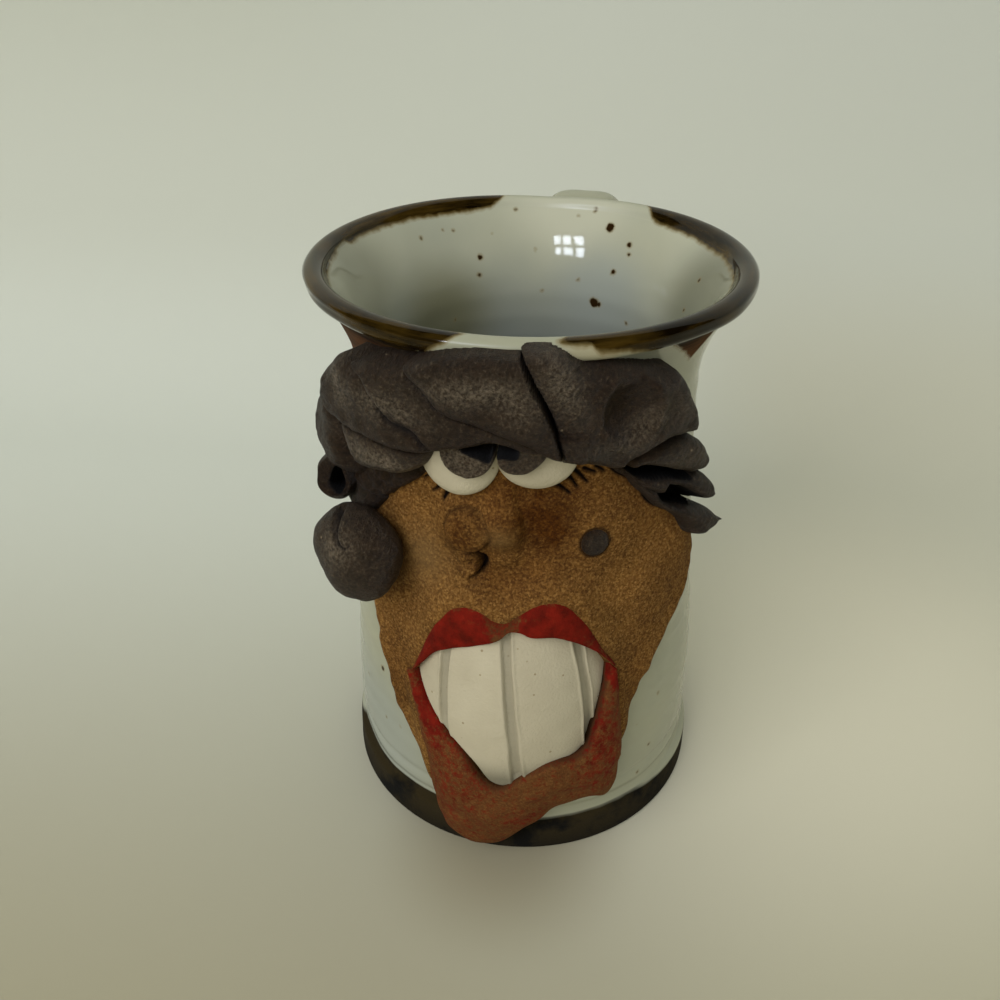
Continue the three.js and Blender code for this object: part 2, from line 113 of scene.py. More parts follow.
# Where the paper's painted light and shade change: along which axis, from where to where in metres, and how far
# it goes.
fades = {}
for name, axis, start, stop, most in (
        ("away", "Y", -0.16, 0.14, 1.0), ("front_right", "X", -0.03, 0.08, 1.0),
        ("far_right", "X", 0.0, 0.10, 1.0), ("bend", "Z", 0.004, 0.06, 1.0), ("wall", "Z", 0.06, 0.24, 1.0),
        ("wall_right", "X", -0.20, 0.02, 1.0), ("wall_top", "Z", 0.15, 0.36, 0.85)):
    fades[name] = add(tree, "MapRange", {"From Min": start, "From Max": stop, "To Max": most,
                                         "interpolation_type": "SMOOTHSTEP"}, {"Value": split.outputs[axis]})
front_tone = add(tree, "MixRGB", {"Color1": paint("#a49d81"), "Color2": paint("#b6b196")},
                 {"Fac": fades["front_right"]})
far_tone = add(tree, "MixRGB", {"Color1": paint("#d9ddd4"), "Color2": paint("#d0cfbe")},
               {"Fac": fades["far_right"]})
floor_tone = add(tree, "MixRGB", {}, {"Fac": fades["away"], "Color1": front_tone, "Color2": far_tone})
floor_tone = add(tree, "MixRGB", {"Color2": paint("#d0d3c8")}, {"Fac": fades["bend"], "Color1": floor_tone})
# Painted light: light falls in at the right. Painted shadow: the mug shades the paper in front of it.
for middle, full, none, most, spot_tone in (((0.075, 0.03, 0.0), 0.03, 0.12, 0.95, "#dedac6"),
                                            ((0.0, -0.042, 0.0), 0.006, 0.034, 0.6, "#8f856a")):
    spot_share = soft_spot(tree, place_socket, middle, full, none, most)
    floor_tone = add(tree, "MixRGB", {"Color2": paint(spot_tone)}, {"Fac": spot_share, "Color1": floor_tone})
wall_tone = add(tree, "MixRGB", {"Color1": paint("#c9ccc0"), "Color2": paint("#d9ddd7")},
                {"Fac": fades["wall_right"]})
wall_tone = add(tree, "MixRGB", {"Color2": paint("#eef1ec")}, {"Fac": fades["wall_top"], "Color1": wall_tone})
tone = add(tree, "MixRGB", {}, {"Fac": fades["wall"], "Color1": floor_tone, "Color2": wall_tone})
tree.links.new(tone.outputs[0], shader.inputs["Base Color"])
sweep_mesh.materials.append(paper)

# Light. A broad window stands in front and to the left, and the room fills the rest softly. A second
# window of six bright panes is small and far, and draws the highlight on the glaze inside.
world = bpy.data.worlds.new("room")
world.use_nodes = True
world.node_tree.nodes["Background"].inputs["Color"].default_value = paint("#e6e8e2")
world.node_tree.nodes["Background"].inputs["Strength"].default_value = 0.60
world.cycles_visibility.glossy = False
scene.world = world
scene.view_settings.view_transform = "Standard"


def lamp(name, direction, distance, width, height, watts, colour):
    """An area lamp that looks at the mug's middle from a direction."""
    data = bpy.data.lights.new(name, "AREA")
    data.shape = "RECTANGLE"
    data.size, data.size_y, data.energy = width, height, watts
    data.color = paint(colour)[:3]
    made = bpy.data.objects.new(name, data)
    aim = Vector(direction).normalized()
    made.location = Vector((0, 0, 0.07)) + aim * distance
    made.rotation_euler = aim.to_track_quat("Z", "Y").to_euler()
    scene.collection.objects.link(made)
    return made


window = lamp("window_broad", (-0.36, -0.72, 0.58), 1.15, 0.80, 0.80, 7.2, "#fffcf6")
window.visible_glossy = False
pane_columns, pane_rows, column_step, row_step = 3, 2, 0.125, 0.20
for column in range(pane_columns):
    for row in range(pane_rows):
        pane = lamp(f"pane_{column}_{row}", (-0.36, -0.70, 0.62), 1.1, 0.090, 0.152, 1.5, "#e6f0ff")
        turn = pane.rotation_euler.to_matrix()
        pane.location += turn @ Vector(((column - 1) * column_step, (row - 0.5) * row_step, 0))
        pane.visible_diffuse = False

# Mug body. It is a stoneware mug thrown on a wheel, with faint finger ridges, dipped in a pale glaze
# and brushed with iron on its rim. The foot band was wiped clean and fired dark.
foot_radius, foot_chamfer, foot_band, glaze_step = 42.6, 0.9, 9.3, 1.4
hollow_radius, hollow_rise, stand_radius = 33.0, 0.5, 34.4
belly_radius, belly_height, neck_radius, neck_height = 41.6, 17.0, 36.1, 105.0
lip_radius, lip_height, lip_roll = 42.9, 125.7, 2.3
wall, wall_start, floor_height, floor_corner = 4.6, 13.0, 6.5, 9.0
axis_gap = 0.4


def core_radius(height):
    """The outer wall without its flare, in mm."""
    share = np.clip((np.asarray(height, float) - belly_height) / (neck_height - belly_height), 0, 1)
    return belly_radius + (neck_radius - belly_radius) * share ** 2 * (3 - 2 * share)


def flare_radius(height):
    """The wall from the neck up to the underside of the lip, in mm."""
    share = (np.asarray(height, float) - neck_height) / (lip_height - neck_height)
    return neck_radius + (lip_radius + lip_roll * 0.6 - neck_radius) * share ** 2


def smooth_line(points, closed=False, steps=12):
    """A centripetal Catmull-Rom curve through points, as a dense row of points."""
    p = np.asarray(points, float)
    if closed:
        p = np.concatenate([p[-1:], p, p[:2]])
    else:
        p = np.concatenate([2 * p[:1] - p[1:2], p, 2 * p[-1:] - p[-2:-1]])
    share = np.linspace(0, 1, steps, endpoint=False)[:, None]
    rows = []
    for a, b, c, d in zip(p, p[1:], p[2:], p[3:]):
        t0, t1, t2 = (max(np.linalg.norm(v - u), 1e-6) ** 0.5 for u, v in ((a, b), (b, c), (c, d)))
        start = ((b - a) / t0 - (c - a) / (t0 + t1) + (c - b) / t1) * t1
        stop = ((c - b) / t1 - (d - b) / (t1 + t2) + (d - c) / t2) * t1
        rows.append(b + start * share + (3 * (c - b) - 2 * start - stop) * share ** 2
                    + (2 * (b - c) + start + stop) * share ** 3)
    return np.concatenate(rows if closed else rows + [p[-2:-1]])


def spaced(line, gap):
    """The same line with points at even distances of about gap."""
    steps = np.r_[0, np.cumsum(np.linalg.norm(np.diff(line, axis=0), axis=1))]
    count = max(int(round(steps[-1] / gap)), 1)
    even = np.linspace(0, steps[-1], count + 1)
    return np.stack([np.interp(even, steps, line[:, k]) for k in range(line.shape[1])], 1)


def grain(points, size, seed=0):
    """Smooth noise from about -0.5 to 0.5 at each point, in lumps of about size mm."""
    shift = Vector((seed * 17.3, seed * 5.1, seed * 9.7))
    return np.array([noise.noise(Vector(p) + shift) for p in (np.asarray(points) / size).tolist()])


def clay_piece(name, points, faces, material, replaced, fields=()):
    """A smooth closed piece from points in mm, which rides on the mug and stands for its CAD nodes."""
    mesh = bpy.data.meshes.new(name)
    mesh.from_pydata((np.asarray(points) * 0.001).tolist(), [], faces)
    for field, values in dict(fields).items():
        layer = mesh.attributes.new(field, "FLOAT", "POINT")
        layer.data.foreach_set("value", np.asarray(values, np.float32).ravel())
    form = bmesh.new()
    form.from_mesh(mesh)
    bmesh.ops.recalc_face_normals(form, faces=form.faces)
    form.to_mesh(mesh)
    form.free()
    mesh.polygons.foreach_set("use_smooth", [True] * len(mesh.polygons))
    mesh.materials.append(material)
    piece = bpy.data.objects.new(name, mesh)
    scene.collection.objects.link(piece)
    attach(piece, "root")
    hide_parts(*replaced)


wall_points = [(core_radius(h), h) for h in np.linspace(wall_start, neck_height, 12)]
wall_points += [(flare_radius(h), h) for h in np.linspace(neck_height, lip_height - lip_roll, 6)[1:]]
for angle in np.radians(np.linspace(-30, 90, 9)):
    wall_points.append((lip_radius + lip_roll * math.cos(angle), lip_height + lip_roll * math.sin(angle)))
inner_points = []
for angle in np.radians(np.linspace(90, 150, 5)):
    inner_points.append((lip_radius + lip_roll * math.cos(angle), lip_height + lip_roll * math.sin(angle)))
inner_points += [(flare_radius(h) - wall, h) for h in np.linspace(lip_height - lip_roll, neck_height, 5)]
inner_points += [(core_radius(h) - wall, h)
                 for h in np.linspace(neck_height, floor_height + floor_corner, 9)[1:]]
corner = inner_points[-1][0] - floor_corner
for angle in np.radians(np.linspace(0, -90, 7))[1:]:
    inner_points.append((corner + floor_corner * math.cos(angle),
                         floor_height + floor_corner + floor_corner * math.sin(angle)))
inner_points.append((axis_gap, floor_height))

base_line = np.array([(axis_gap, hollow_rise), (hollow_radius, hollow_rise), (stand_radius, 0.0),
                      (foot_radius - foot_chamfer, 0.0),
                      (foot_radius - 0.25, 0.3), (foot_radius, foot_chamfer),
                      (foot_radius, foot_band - glaze_step), (foot_radius - 0.5, foot_band - 0.75),
                      (foot_radius - glaze_step + 0.25, foot_band - 0.5),
                      (foot_radius - glaze_step, foot_band + 0.5)])
outer_line = spaced(np.concatenate([base_line[3:], smooth_line(wall_points)]), 0.62)
under_line = spaced(base_line[:4], 2.2)[:-1]
inner_line = spaced(smooth_line(inner_points), 0.66)[1:]
profile = np.concatenate([under_line, outer_line, inner_line])
lip_top = len(under_line) + len(outer_line) - 1
arc = np.r_[0, np.cumsum(np.linalg.norm(np.diff(profile, axis=0), axis=1))]
arc = arc[lip_top] - arc

mug_sides = 400
turn_grid, row_grid = np.meshgrid(np.arange(mug_sides) * 2 * math.pi / mug_sides, np.arange(len(profile)))
theta = np.degrees(turn_grid)
theta = np.where(theta > 180, theta - 360, theta)
radius, height = profile[row_grid, 0], profile[row_grid, 1]
outside = row_grid <= lip_top
from_lip = arc[row_grid]

# Finger ridges wind up the wall, and two soft grooves lie over the glaze line.
ridge_pitch, ridge_outside, ridge_inside = 5.5, 0.10, 0.16
wind = height + theta / 360 * ridge_pitch
rings = 0.5 - 0.5 * np.cos(2 * math.pi * wind / ridge_pitch)
ring_depth = np.where(outside, ridge_outside, ridge_inside)
ring_depth = ring_depth * np.clip((height - 14) / 10, 0, 1) * np.clip((118 - height) / 14, 0, 1)
groove = 0.34 * np.exp(-((height - 15.2 - 0.6 * np.sin(turn_grid + 1)) / 0.9) ** 2)
groove += 0.22 * np.exp(-((height - 11.2) / 0.6) ** 2)
radius = radius - np.where(outside, rings * ring_depth + groove * (height > 9.5), -rings * ring_depth * 0.5)
# The rim dips a little at the back, where the handle pulled on it.
dip = 0.8 * np.clip((np.abs(theta) - 120) / 60, 0, 1) ** 2 * np.clip((height - 96) / 32, 0, 1) ** 2
height = height - dip
mug_points = np.stack([radius * np.sin(turn_grid), -radius * np.cos(turn_grid), height], -1).reshape(-1, 3)
lumps = grain(mug_points, 22, 1) * 0.5 + grain(mug_points, 7, 2) * 0.14
inset = (lumps - 0.35) * np.clip(mug_points[:, 2] / 12, 0, 1) * (np.abs(from_lip.ravel()) > 3)
facing = np.where(outside, 1.0, -1.0).ravel()
flat = np.hypot(mug_points[:, 0], mug_points[:, 1]) + 1e-6
for axis in (0, 1):
    mug_points[:, axis] *= 1 + np.where(flat > 20, inset * facing / flat, 0)

# Where the iron lies: how far inside the brushed patches each point is, in mm. Each patch has an edge on
# the inner side of the lip and one on the outer side, at angles round the rim.
patches = [
    ([-166, -164, -161, -154, -144, -135, -117, -107, -103, -101, -97, -90, -77, -66, -40, -25, -16, -9],
     [-0.5, -2.2, -3.8, -4.4, -4.6, -4.3, -4.3, -4.4, -4.6, -3.2, -3.3, -4.3, -4.5, -4.5, -4.3, -3.9,
      -2.5, -0.2],
     [-166, -150, -130, -110, -90, -75, -62, -58, -45, -30, -26, -22, -20, -17.7, -16.3, -13.9, -11, -9],
     [1, 6, 9, 12, 19, 24, 24, 22, 18, 15, 13, 8.6, 6.8, 5.6, 4.1, 3.2, 1.4, 0.1]),
    ([12, 16, 20, 92, 99, 107, 114, 117, 123, 129, 136, 141, 143, 146, 148],
     [0.9, -2, -4.2, -4.3, -4.4, -4.5, -4.7, -4.6, -4.5, -4.5, -4.3, -4.0, -3.1, -0.8, 0.8],
     [11.9, 14.8, 18.7, 20.1, 25.4, 28.5, 34.2, 38, 42, 43.1, 50.3, 57.5, 60, 64, 80, 100, 120, 140, 148],
     [1.4, 2.1, 2.0, 3.6, 3.7, 4.5, 5.0, 6, 7.3, 8.4, 12.2, 16.3, 14, 6, 5.5, 7, 5, 4, 0.6]),
]
iron = np.full(theta.shape, -20.0)
for inner_turn, inner_edge, outer_turn, outer_edge in patches:
    round_edge = np.minimum(theta - inner_turn[0], inner_turn[-1] - theta) * 0.75
    depth = np.minimum(from_lip - np.interp(theta, inner_turn, inner_edge),
                       np.interp(theta, outer_turn, outer_edge) - from_lip)
    iron = np.maximum(iron, np.minimum(depth, round_edge))
iron = np.where(row_grid < len(under_line), -20.0, iron)
# A creamy patch of glaze lies beside the iron, right of the middle.
cream = np.minimum(np.minimum(theta - 13, 25 - theta) * 0.75, np.minimum(from_lip - 1.5, 8 - from_lip))

faces = []
for row in range(len(profile) - 1):
    low, above = row * mug_sides, (row + 1) * mug_sides
    faces += [(low + i, low + (i + 1) % mug_sides, above + (i + 1) % mug_sides, above + i)
              for i in range(mug_sides)]
last = (len(profile) - 1) * mug_sides
faces.append(tuple(range(mug_sides))[::-1])
faces.append(tuple(range(last, last + mug_sides)))


def specked(tree, source, tone, scale, rare, widest, edge, most, colour):
    """Scatters round specks over a tone. A share rare of the cells has none, and edge is how soft they end."""
    cells = add(tree, "TexVoronoi", {"Scale": scale}, {"Vector": source})
    some = add(tree, "SeparateColor", {}, {0: cells.outputs["Color"]})
    size = add(tree, "MapRange", {"From Min": rare, "From Max": 1.0, "To Max": widest},
               {"Value": some.outputs[0]})
    within = add(tree, "Math", {"operation": "SUBTRACT"}, {0: size, 1: cells.outputs["Distance"]})
    share = add(tree, "MapRange", {"From Min": edge[0], "From Max": edge[1], "To Max": most}, {"Value": within})
    return add(tree, "MixRGB", {"Color2": paint(colour)}, {"Fac": share, "Color1": tone})


# Glazed stoneware: a milky, glossy glaze, bluer where it pooled, with iron specks that burned through it.
# The brushed iron is a dark olive brown that breaks to rust where it is thin.
glaze, tree, shader, place_socket = finish_of("milky_glaze_over_stoneware",
                                              {"IOR": 1.45, "Specular IOR Level": 0.27})
split = add(tree, "SeparateXYZ", {}, {0: place_socket})
clouds = add(tree, "TexNoise", {"Scale": 55, "Detail": 4}, {"Vector": place_socket})
# The glaze is painted paler inside the mug than outside: painted light on the inner wall, painted shade on the
# outer wall.
lit_inner_glaze = add(tree, "MixRGB", {"Color1": paint("#a4a798"), "Color2": paint("#b9b9a3")}, {"Fac": clouds})
shaded_outer_glaze = add(tree, "MixRGB", {"Color1": paint("#989b8a"), "Color2": paint("#adac92")}, {"Fac": clouds})
# The pool of bluer glaze lies in the lower half inside the mug, where it is also painted darker as painted
# shade.
span = add(tree, "VectorMath", {"operation": "MULTIPLY", 1: (1, 1, 0)}, {0: place_socket})
span = add(tree, "VectorMath", {"operation": "LENGTH"}, {0: span})
hollow = add(tree, "Attribute", {"attribute_name": "inner"}).outputs["Fac"]
deep = add(tree, "MapRange", {"From Min": 0.121, "From Max": 0.094, "interpolation_type": "SMOOTHSTEP"},
           {"Value": split.outputs["Z"]})
pooled_and_shaded = add(tree, "Math", {"operation": "MULTIPLY"}, {0: hollow, 1: deep})
pale = add(tree, "MixRGB", {}, {"Fac": hollow, "Color1": shaded_outer_glaze, "Color2": lit_inner_glaze})
pale = add(tree, "MixRGB", {"Color2": paint("#8b918d")}, {"Fac": pooled_and_shaded, "Color1": pale})
# Spots inside the mug: a painted highlight high on the back wall, an olive patch at the back left and a bluer
# patch at the back right in the glaze's own colour, and painted shade on the right and left walls.
for middle, full, none, most, spot_tone in (((0.006, 0.041, 0.128), 0.006, 0.020, 0.65, "#cacab6"),
                                            ((-0.022, 0.022, 0.103), 0.004, 0.018, 0.75, "#7a7757"),
                                            ((0.014, 0.029, 0.108), 0.003, 0.017, 0.6, "#98a09f"),
                                            ((0.0352, 0.0035, 0.116), 0.007, 0.021, 0.85, "#737461"),
                                            ((-0.037, 0.004, 0.118), 0.005, 0.018, 0.6, "#8c8c78")):
    spot_share = soft_spot(tree, place_socket, middle, full, none, most)
    spot_share = add(tree, "Math", {"operation": "MULTIPLY"}, {0: spot_share, 1: hollow})
    pale = add(tree, "MixRGB", {"Color2": paint(spot_tone)}, {"Fac": spot_share, "Color1": pale})
# Low at the front left the glaze is thicker, and bluer.
left_low = soft_spot(tree, place_socket, (-0.033, -0.025, 0.018), 0.008, 0.030, 0.7)
pale = add(tree, "MixRGB", {"Color2": paint("#9aa19c")}, {"Fac": left_low, "Color1": pale})

# Fine random specks, about one to each 7 mm.
pale = specked(tree, place_socket, pale, 140, 0.72, 0.05, (-0.012, 0.012), 1.0, "#5d5540")

# The larger specks, each at its angle round the mug and height, with its radius: inside, then outside.
specks_inside = [
    (156.6, 123.1, 1.05), (156.8, 106.8, 1.15), (154.6, 106.6, 0.5), (-154.7, 116.1, 0.7),
    (-153.5, 112.3, 0.55), (183.3, 117.3, 0.55), (-169.5, 125.4, 0.55), (147.1, 120.5, 0.65),
    (150.4, 114.5, 0.6), (165, 111.4, 0.42), (180.1, 108.1, 0.45), (168.8, 124.8, 0.5),
    (163.7, 126, 0.7), (106.3, 120.2, 0.45), (105.7, 113.9, 0.42), (140.1, 104, 0.4),
    (-141.3, 102.6, 0.35), (-132.8, 122, 0.45), (-142.2, 122.5, 0.3), (-146, 122.2, 0.35),
    (-160.5, 120.8, 0.3), (145.9, 118.7, 0.4),
]
specks_outside = [
    (-66.8, 31.8, 0.6), (-46.2, 39.4, 0.55), (-58.4, 30.9, 0.5), (-61.8, 16.4, 0.7), (-45.7, 24.5, 0.5),
    (-37.9, 25.6, 0.45), (48, 45.8, 0.5), (55.2, 34.7, 0.6), (45.4, 29.6, 0.45), (51.7, 20.6, 0.5),
    (46.9, 13.8, 0.5), (95, 62, 0.7), (128, 84, 0.6), (-112, 58, 0.8), (-138, 90, 0.6), (150, 38, 0.7),
    (-160, 27, 0.6), (78, 92, 0.6), (-88, 78, 0.5),
]
speck_rim = 0.00012
wobble = add(tree, "TexNoise", {"Scale": 900, "Detail": 1}, {"Vector": place_socket})
wobble = add(tree, "MapRange", {"To Min": -0.00035, "To Max": 0.00035}, {"Value": wobble})
nearest = None
for specks, thickness in ((specks_inside, wall), (specks_outside, 0.0)):
    for angle, level, size in specks:
        turn = math.radians(angle)
        base = float(flare_radius(level) if level > neck_height else core_radius(level)) - thickness
        spot = (base * math.sin(turn) * 0.001, -base * math.cos(turn) * 0.001, level * 0.001)
        away = add(tree, "VectorMath", {"operation": "DISTANCE", 1: spot}, {0: place_socket})
        depth = add(tree, "Math", {"operation": "SUBTRACT", 0: size * 0.001 + speck_rim},
                    {1: away.outputs["Value"]})
        nearest = depth if nearest is None else add(tree, "Math", {"operation": "MAXIMUM"},
                                                    {0: nearest, 1: depth})
nearest = add(tree, "Math", {"operation": "ADD"}, {0: nearest, 1: wobble})
halo = add(tree, "MapRange", {"From Min": -0.0003, "From Max": 0.0002, "To Max": 0.75}, {"Value": nearest})
heart = add(tree, "MapRange", {"From Min": 0.0, "From Max": 0.0003}, {"Value": nearest})
pale = add(tree, "MixRGB", {"Color2": paint("#8a7a55")}, {"Fac": halo, "Color1": pale})
pale = add(tree, "MixRGB", {"Color2": paint("#2c1d0c")}, {"Fac": heart, "Color1": pale})

# Iron brush work. Its ragged edge comes from noise of about 1 mm, and its strokes run round the rim.
iron_field = add(tree, "Attribute", {"attribute_name": "iron"}).outputs["Fac"]
ragged = add(tree, "TexNoise", {"Scale": 420, "Detail": 2}, {"Vector": place_socket})
ragged = add(tree, "MapRange", {"To Min": -0.6, "To Max": 0.6}, {"Value": ragged})
iron_field = add(tree, "Math", {"operation": "ADD"}, {0: iron_field, 1: ragged})
minus_y = add(tree, "Math", {"operation": "MULTIPLY", 1: -1.0}, {0: split.outputs["Y"]})
turned = add(tree, "Math", {"operation": "ARCTAN2"}, {0: split.outputs["X"], 1: minus_y})
round_rim = add(tree, "Math", {"operation": "MULTIPLY", 1: 0.0045}, {0: turned})
stroke_place = add(tree, "CombineXYZ", {}, {0: round_rim, 1: span.outputs["Value"], 2: split.outputs["Z"]})
runs = add(tree, "TexNoise", {"Scale": 1000, "Detail": 6, "Roughness": 0.65}, {"Vector": stroke_place})
broad = add(tree, "TexNoise", {"Scale": 90, "Detail": 3}, {"Vector": place_socket})
rust_share = add(tree, "Math", {"operation": "MULTIPLY"}, {0: runs, 1: broad})
rust_share = add(tree, "MapRange", {"From Min": 0.15, "From Max": 0.42}, {"Value": rust_share})
iron_tone = add(tree, "MixRGB", {"Color1": paint("#0f0902"), "Color2": paint("#4a3812")}, {"Fac": rust_share})
rust_low = add(tree, "MapRange", {"From Min": 0.1225, "From Max": 0.1195}, {"Value": split.outputs["Z"]})
rusty = add(tree, "MapRange", {"From Min": 0.35, "From Max": 0.55, "To Min": 0.4}, {"Value": runs})
rust_low = add(tree, "Math", {"operation": "MULTIPLY"}, {0: rust_low, 1: rusty})
iron_tone = add(tree, "MixRGB", {"Color2": paint("#5f3b19")}, {"Fac": rust_low, "Color1": iron_tone})
fringe = add(tree, "MapRange", {"From Min": -0.7, "From Max": 0.3}, {"Value": iron_field})
body = add(tree, "MapRange", {"From Min": -0.15, "From Max": 0.75}, {"Value": iron_field})
cream_field = add(tree, "Attribute", {"attribute_name": "cream"}).outputs["Fac"]
cream_field = add(tree, "Math", {"operation": "ADD"}, {0: cream_field, 1: ragged})
cream_share = add(tree, "MapRange", {"From Min": -0.8, "From Max": 1.2, "To Max": 0.75}, {"Value": cream_field})
glazed = add(tree, "MixRGB", {"Color2": paint("#aaa285")}, {"Fac": cream_share, "Color1": pale})
glazed = add(tree, "MixRGB", {"Color2": paint("#7d6d45")}, {"Fac": fringe, "Color1": glazed})
glazed = add(tree, "MixRGB", {}, {"Fac": body, "Color1": glazed, "Color2": iron_tone})

# Bare foot band: fired dark, with olive and almost black patches.
smoke = add(tree, "TexNoise", {"Scale": 85, "Detail": 5, "Roughness": 0.6}, {"Vector": place_socket})
smoke = add(tree, "MapRange", {"From Min": 0.45, "From Max": 0.61}, {"Value": smoke})
low = add(tree, "MapRange", {"From Min": 0.0065, "From Max": 0.001, "To Min": 0.1, "To Max": 0.6},
          {"Value": split.outputs["Z"]})
smoke = add(tree, "Math", {"operation": "MAXIMUM"}, {0: smoke, 1: low})
foot_tone = add(tree, "MixRGB", {"Color1": paint("#30270f"), "Color2": paint("#0d0a03")}, {"Fac": smoke})
sway = add(tree, "TexNoise", {"Scale": 120, "Detail": 2}, {"Vector": place_socket})
sway = add(tree, "MapRange", {"To Min": -0.00025, "To Max": 0.00025}, {"Value": sway})
line_height = add(tree, "Math", {"operation": "ADD"}, {0: split.outputs["Z"], 1: sway})
# The glaze line was wiped by hand: it climbs at the front left and sinks at both sides.
for middle, full, none, rise in (((-0.028, -0.032, 0.009), 0.012, 0.030, -0.0014),
                                 ((0.042, -0.002, 0.009), 0.014, 0.032, 0.0013),
                                 ((-0.042, 0.008, 0.009), 0.012, 0.026, 0.0012)):
    risen = soft_spot(tree, place_socket, middle, full, none, rise)
    line_height = add(tree, "Math", {"operation": "ADD"}, {0: line_height, 1: risen})
above_band = add(tree, "MapRange", {"From Min": 0.0086, "From Max": 0.0091}, {"Value": line_height})
inside_mug = add(tree, "Math", {"operation": "LESS_THAN", 1: 0.0385}, {0: span.outputs["Value"]})
above_floor = add(tree, "Math", {"operation": "GREATER_THAN", 1: 0.0055}, {0: split.outputs["Z"]})
inside_mug = add(tree, "Math", {"operation": "MULTIPLY"}, {0: inside_mug, 1: above_floor})
glaze_share = add(tree, "Math", {"operation": "MAXIMUM"}, {0: above_band, 1: inside_mug})
whole = add(tree, "MixRGB", {}, {"Fac": glaze_share, "Color1": foot_tone, "Color2": glazed})
tree.links.new(whole.outputs[0], shader.inputs["Base Color"])
gloss = add(tree, "MapRange", {"To Min": 1.0, "To Max": 0.055}, {"Value": glaze_share})
dry = add(tree, "MapRange", {"From Min": 0.1245, "From Max": 0.1215, "To Min": 0.08, "To Max": 0.95},
          {"Value": split.outputs["Z"]})
dry = add(tree, "Math", {"operation": "MULTIPLY"}, {0: dry, 1: body})
worn_lip = add(tree, "MapRange", {"From Min": 0.1245, "From Max": 0.1258, "To Max": 0.34},
               {"Value": split.outputs["Z"]})
worn_lip = add(tree, "Math", {"operation": "SUBTRACT"}, {0: worn_lip, 1: body})
gloss = add(tree, "Math", {"operation": "MAXIMUM"}, {0: gloss, 1: worn_lip})
gloss = add(tree, "Math", {"operation": "MAXIMUM"}, {0: gloss, 1: dry})
tree.links.new(gloss.outputs[0], shader.inputs["Roughness"])
# The glaze is smooth with a slight ripple; the bare foot is gritty, and the iron is dry where it is thin.
ripple = add(tree, "TexNoise", {"Scale": 260, "Detail": 2}, {"Vector": place_socket})
ripple = add(tree, "Math", {"operation": "MULTIPLY", 1: 0.12}, {0: ripple})
grit = add(tree, "TexNoise", {"Scale": 1500, "Detail": 3}, {"Vector": place_socket})
relief = add(tree, "MixRGB", {}, {"Fac": glaze_share, "Color1": grit, "Color2": ripple})
lift = add(tree, "Bump", {"Strength": 0.5, "Distance": 0.00025}, {"Height": relief})
tree.links.new(lift.outputs[0], shader.inputs["Normal"])
clay_piece("mug_thrown_body", mug_points, faces, glaze, ["mug_body"],
           {"iron": iron, "cream": cream, "inner": np.clip(-from_lip / 1.5, 0, 1)})


# Handle. A strap of the same clay, pulled and bent over, pressed on behind the face and glazed with the
# mug. Pulling left a shallow valley along its outer side.
def tube_faces(rows, sides):
    """Faces over rows of closed sections, with a flat face on each end."""
    found = []
    for i in range(rows - 1):
        found += [(i * sides + j, i * sides + (j + 1) % sides, (i + 1) * sides + (j + 1) % sides,
                   (i + 1) * sides + j) for j in range(sides)]
    return found + [tuple(range(sides))[::-1], tuple(range((rows - 1) * sides, rows * sides))]


strap_width, strap_thickness, strap_turn, valley_share = 17.4, 8.2, -9, 0.14
strap_steps, strap_sides = 150, 56
handle_line = [(core_radius(115) - 2.3, 112.5), (42.6, 119.3), (50.4, 123.4), (58.7, 120.2), (65.2, 108.6),
               (67.1, 91.6), (64.9, 72), (57.5, 53), (48.5, 44), (core_radius(41) - 2.3, 39)]
width_shares = [1.3, 1.12, 1.05, 1.02, 0.96, 0.9, 0.85, 0.85, 0.9, 1.05]
bent = smooth_line([(0, float(r), float(z)) for r, z in handle_line], steps=24)
reach = np.r_[0, np.cumsum(np.linalg.norm(np.diff(bent, axis=0), axis=1))]
share = (1 - np.cos(np.pi * (np.arange(strap_steps + 1) + 0.12) / (strap_steps + 0.24))) / 2
centre = np.stack([np.interp(share * reach[-1], reach, bent[:, k]) for k in range(3)], 1)
tangent = np.gradient(centre, axis=0)
tangent /= np.linalg.norm(tangent, axis=1)[:, None]
sideways = np.array([-1.0, 0.0, 0.0])
outward = np.cross(tangent, sideways)
outward /= np.linalg.norm(outward, axis=1)[:, None]
swell = np.maximum(1 - (2 * share - 1) ** 2, 0) ** 0.16
widths = strap_width * np.interp(share, np.linspace(0, 1, len(width_shares)), width_shares)
around = 2 * np.pi * np.arange(strap_sides) / strap_sides
handle_rows = (centre[:, None] + sideways * np.outer(widths * swell / 2, np.cos(around))[..., None]
               + outward[:, None] * np.outer(strap_thickness / 2 * swell, np.sin(around))[..., None])
for column in np.nonzero(np.sin(around) > 0.3)[0]:
    sunk = valley_share * math.sin(around[column]) ** 8
    handle_rows[:, column] += (handle_rows.mean(axis=1) - handle_rows[:, column]) * sunk
# Its ends stop inside the wall.
reach = np.linalg.norm(handle_rows[..., :2], axis=-1)
least = np.where(handle_rows[..., 2] > neck_height, flare_radius(handle_rows[..., 2]),
                 core_radius(handle_rows[..., 2])) - wall * 0.7
handle_rows[..., :2] *= (np.maximum(reach, least) / reach)[..., None]
turn = math.radians(strap_turn)
x, y = handle_rows[..., 0].copy(), handle_rows[..., 1].copy()
handle_rows[..., 0] = x * math.cos(turn) - y * math.sin(turn)
handle_rows[..., 1] = x * math.sin(turn) + y * math.cos(turn)
handle_points = handle_rows.reshape(-1, 3)
handle_points += np.stack([grain(handle_points, 14, s) for s in (4, 5, 6)], 1) * 0.35
clay_piece("handle_pulled_strap", handle_points, tube_faces(strap_steps + 1, strap_sides), glaze,
           ["handle"],
           {"iron": np.full(len(handle_points), -20.0), "cream": np.full(len(handle_points), -20.0)})


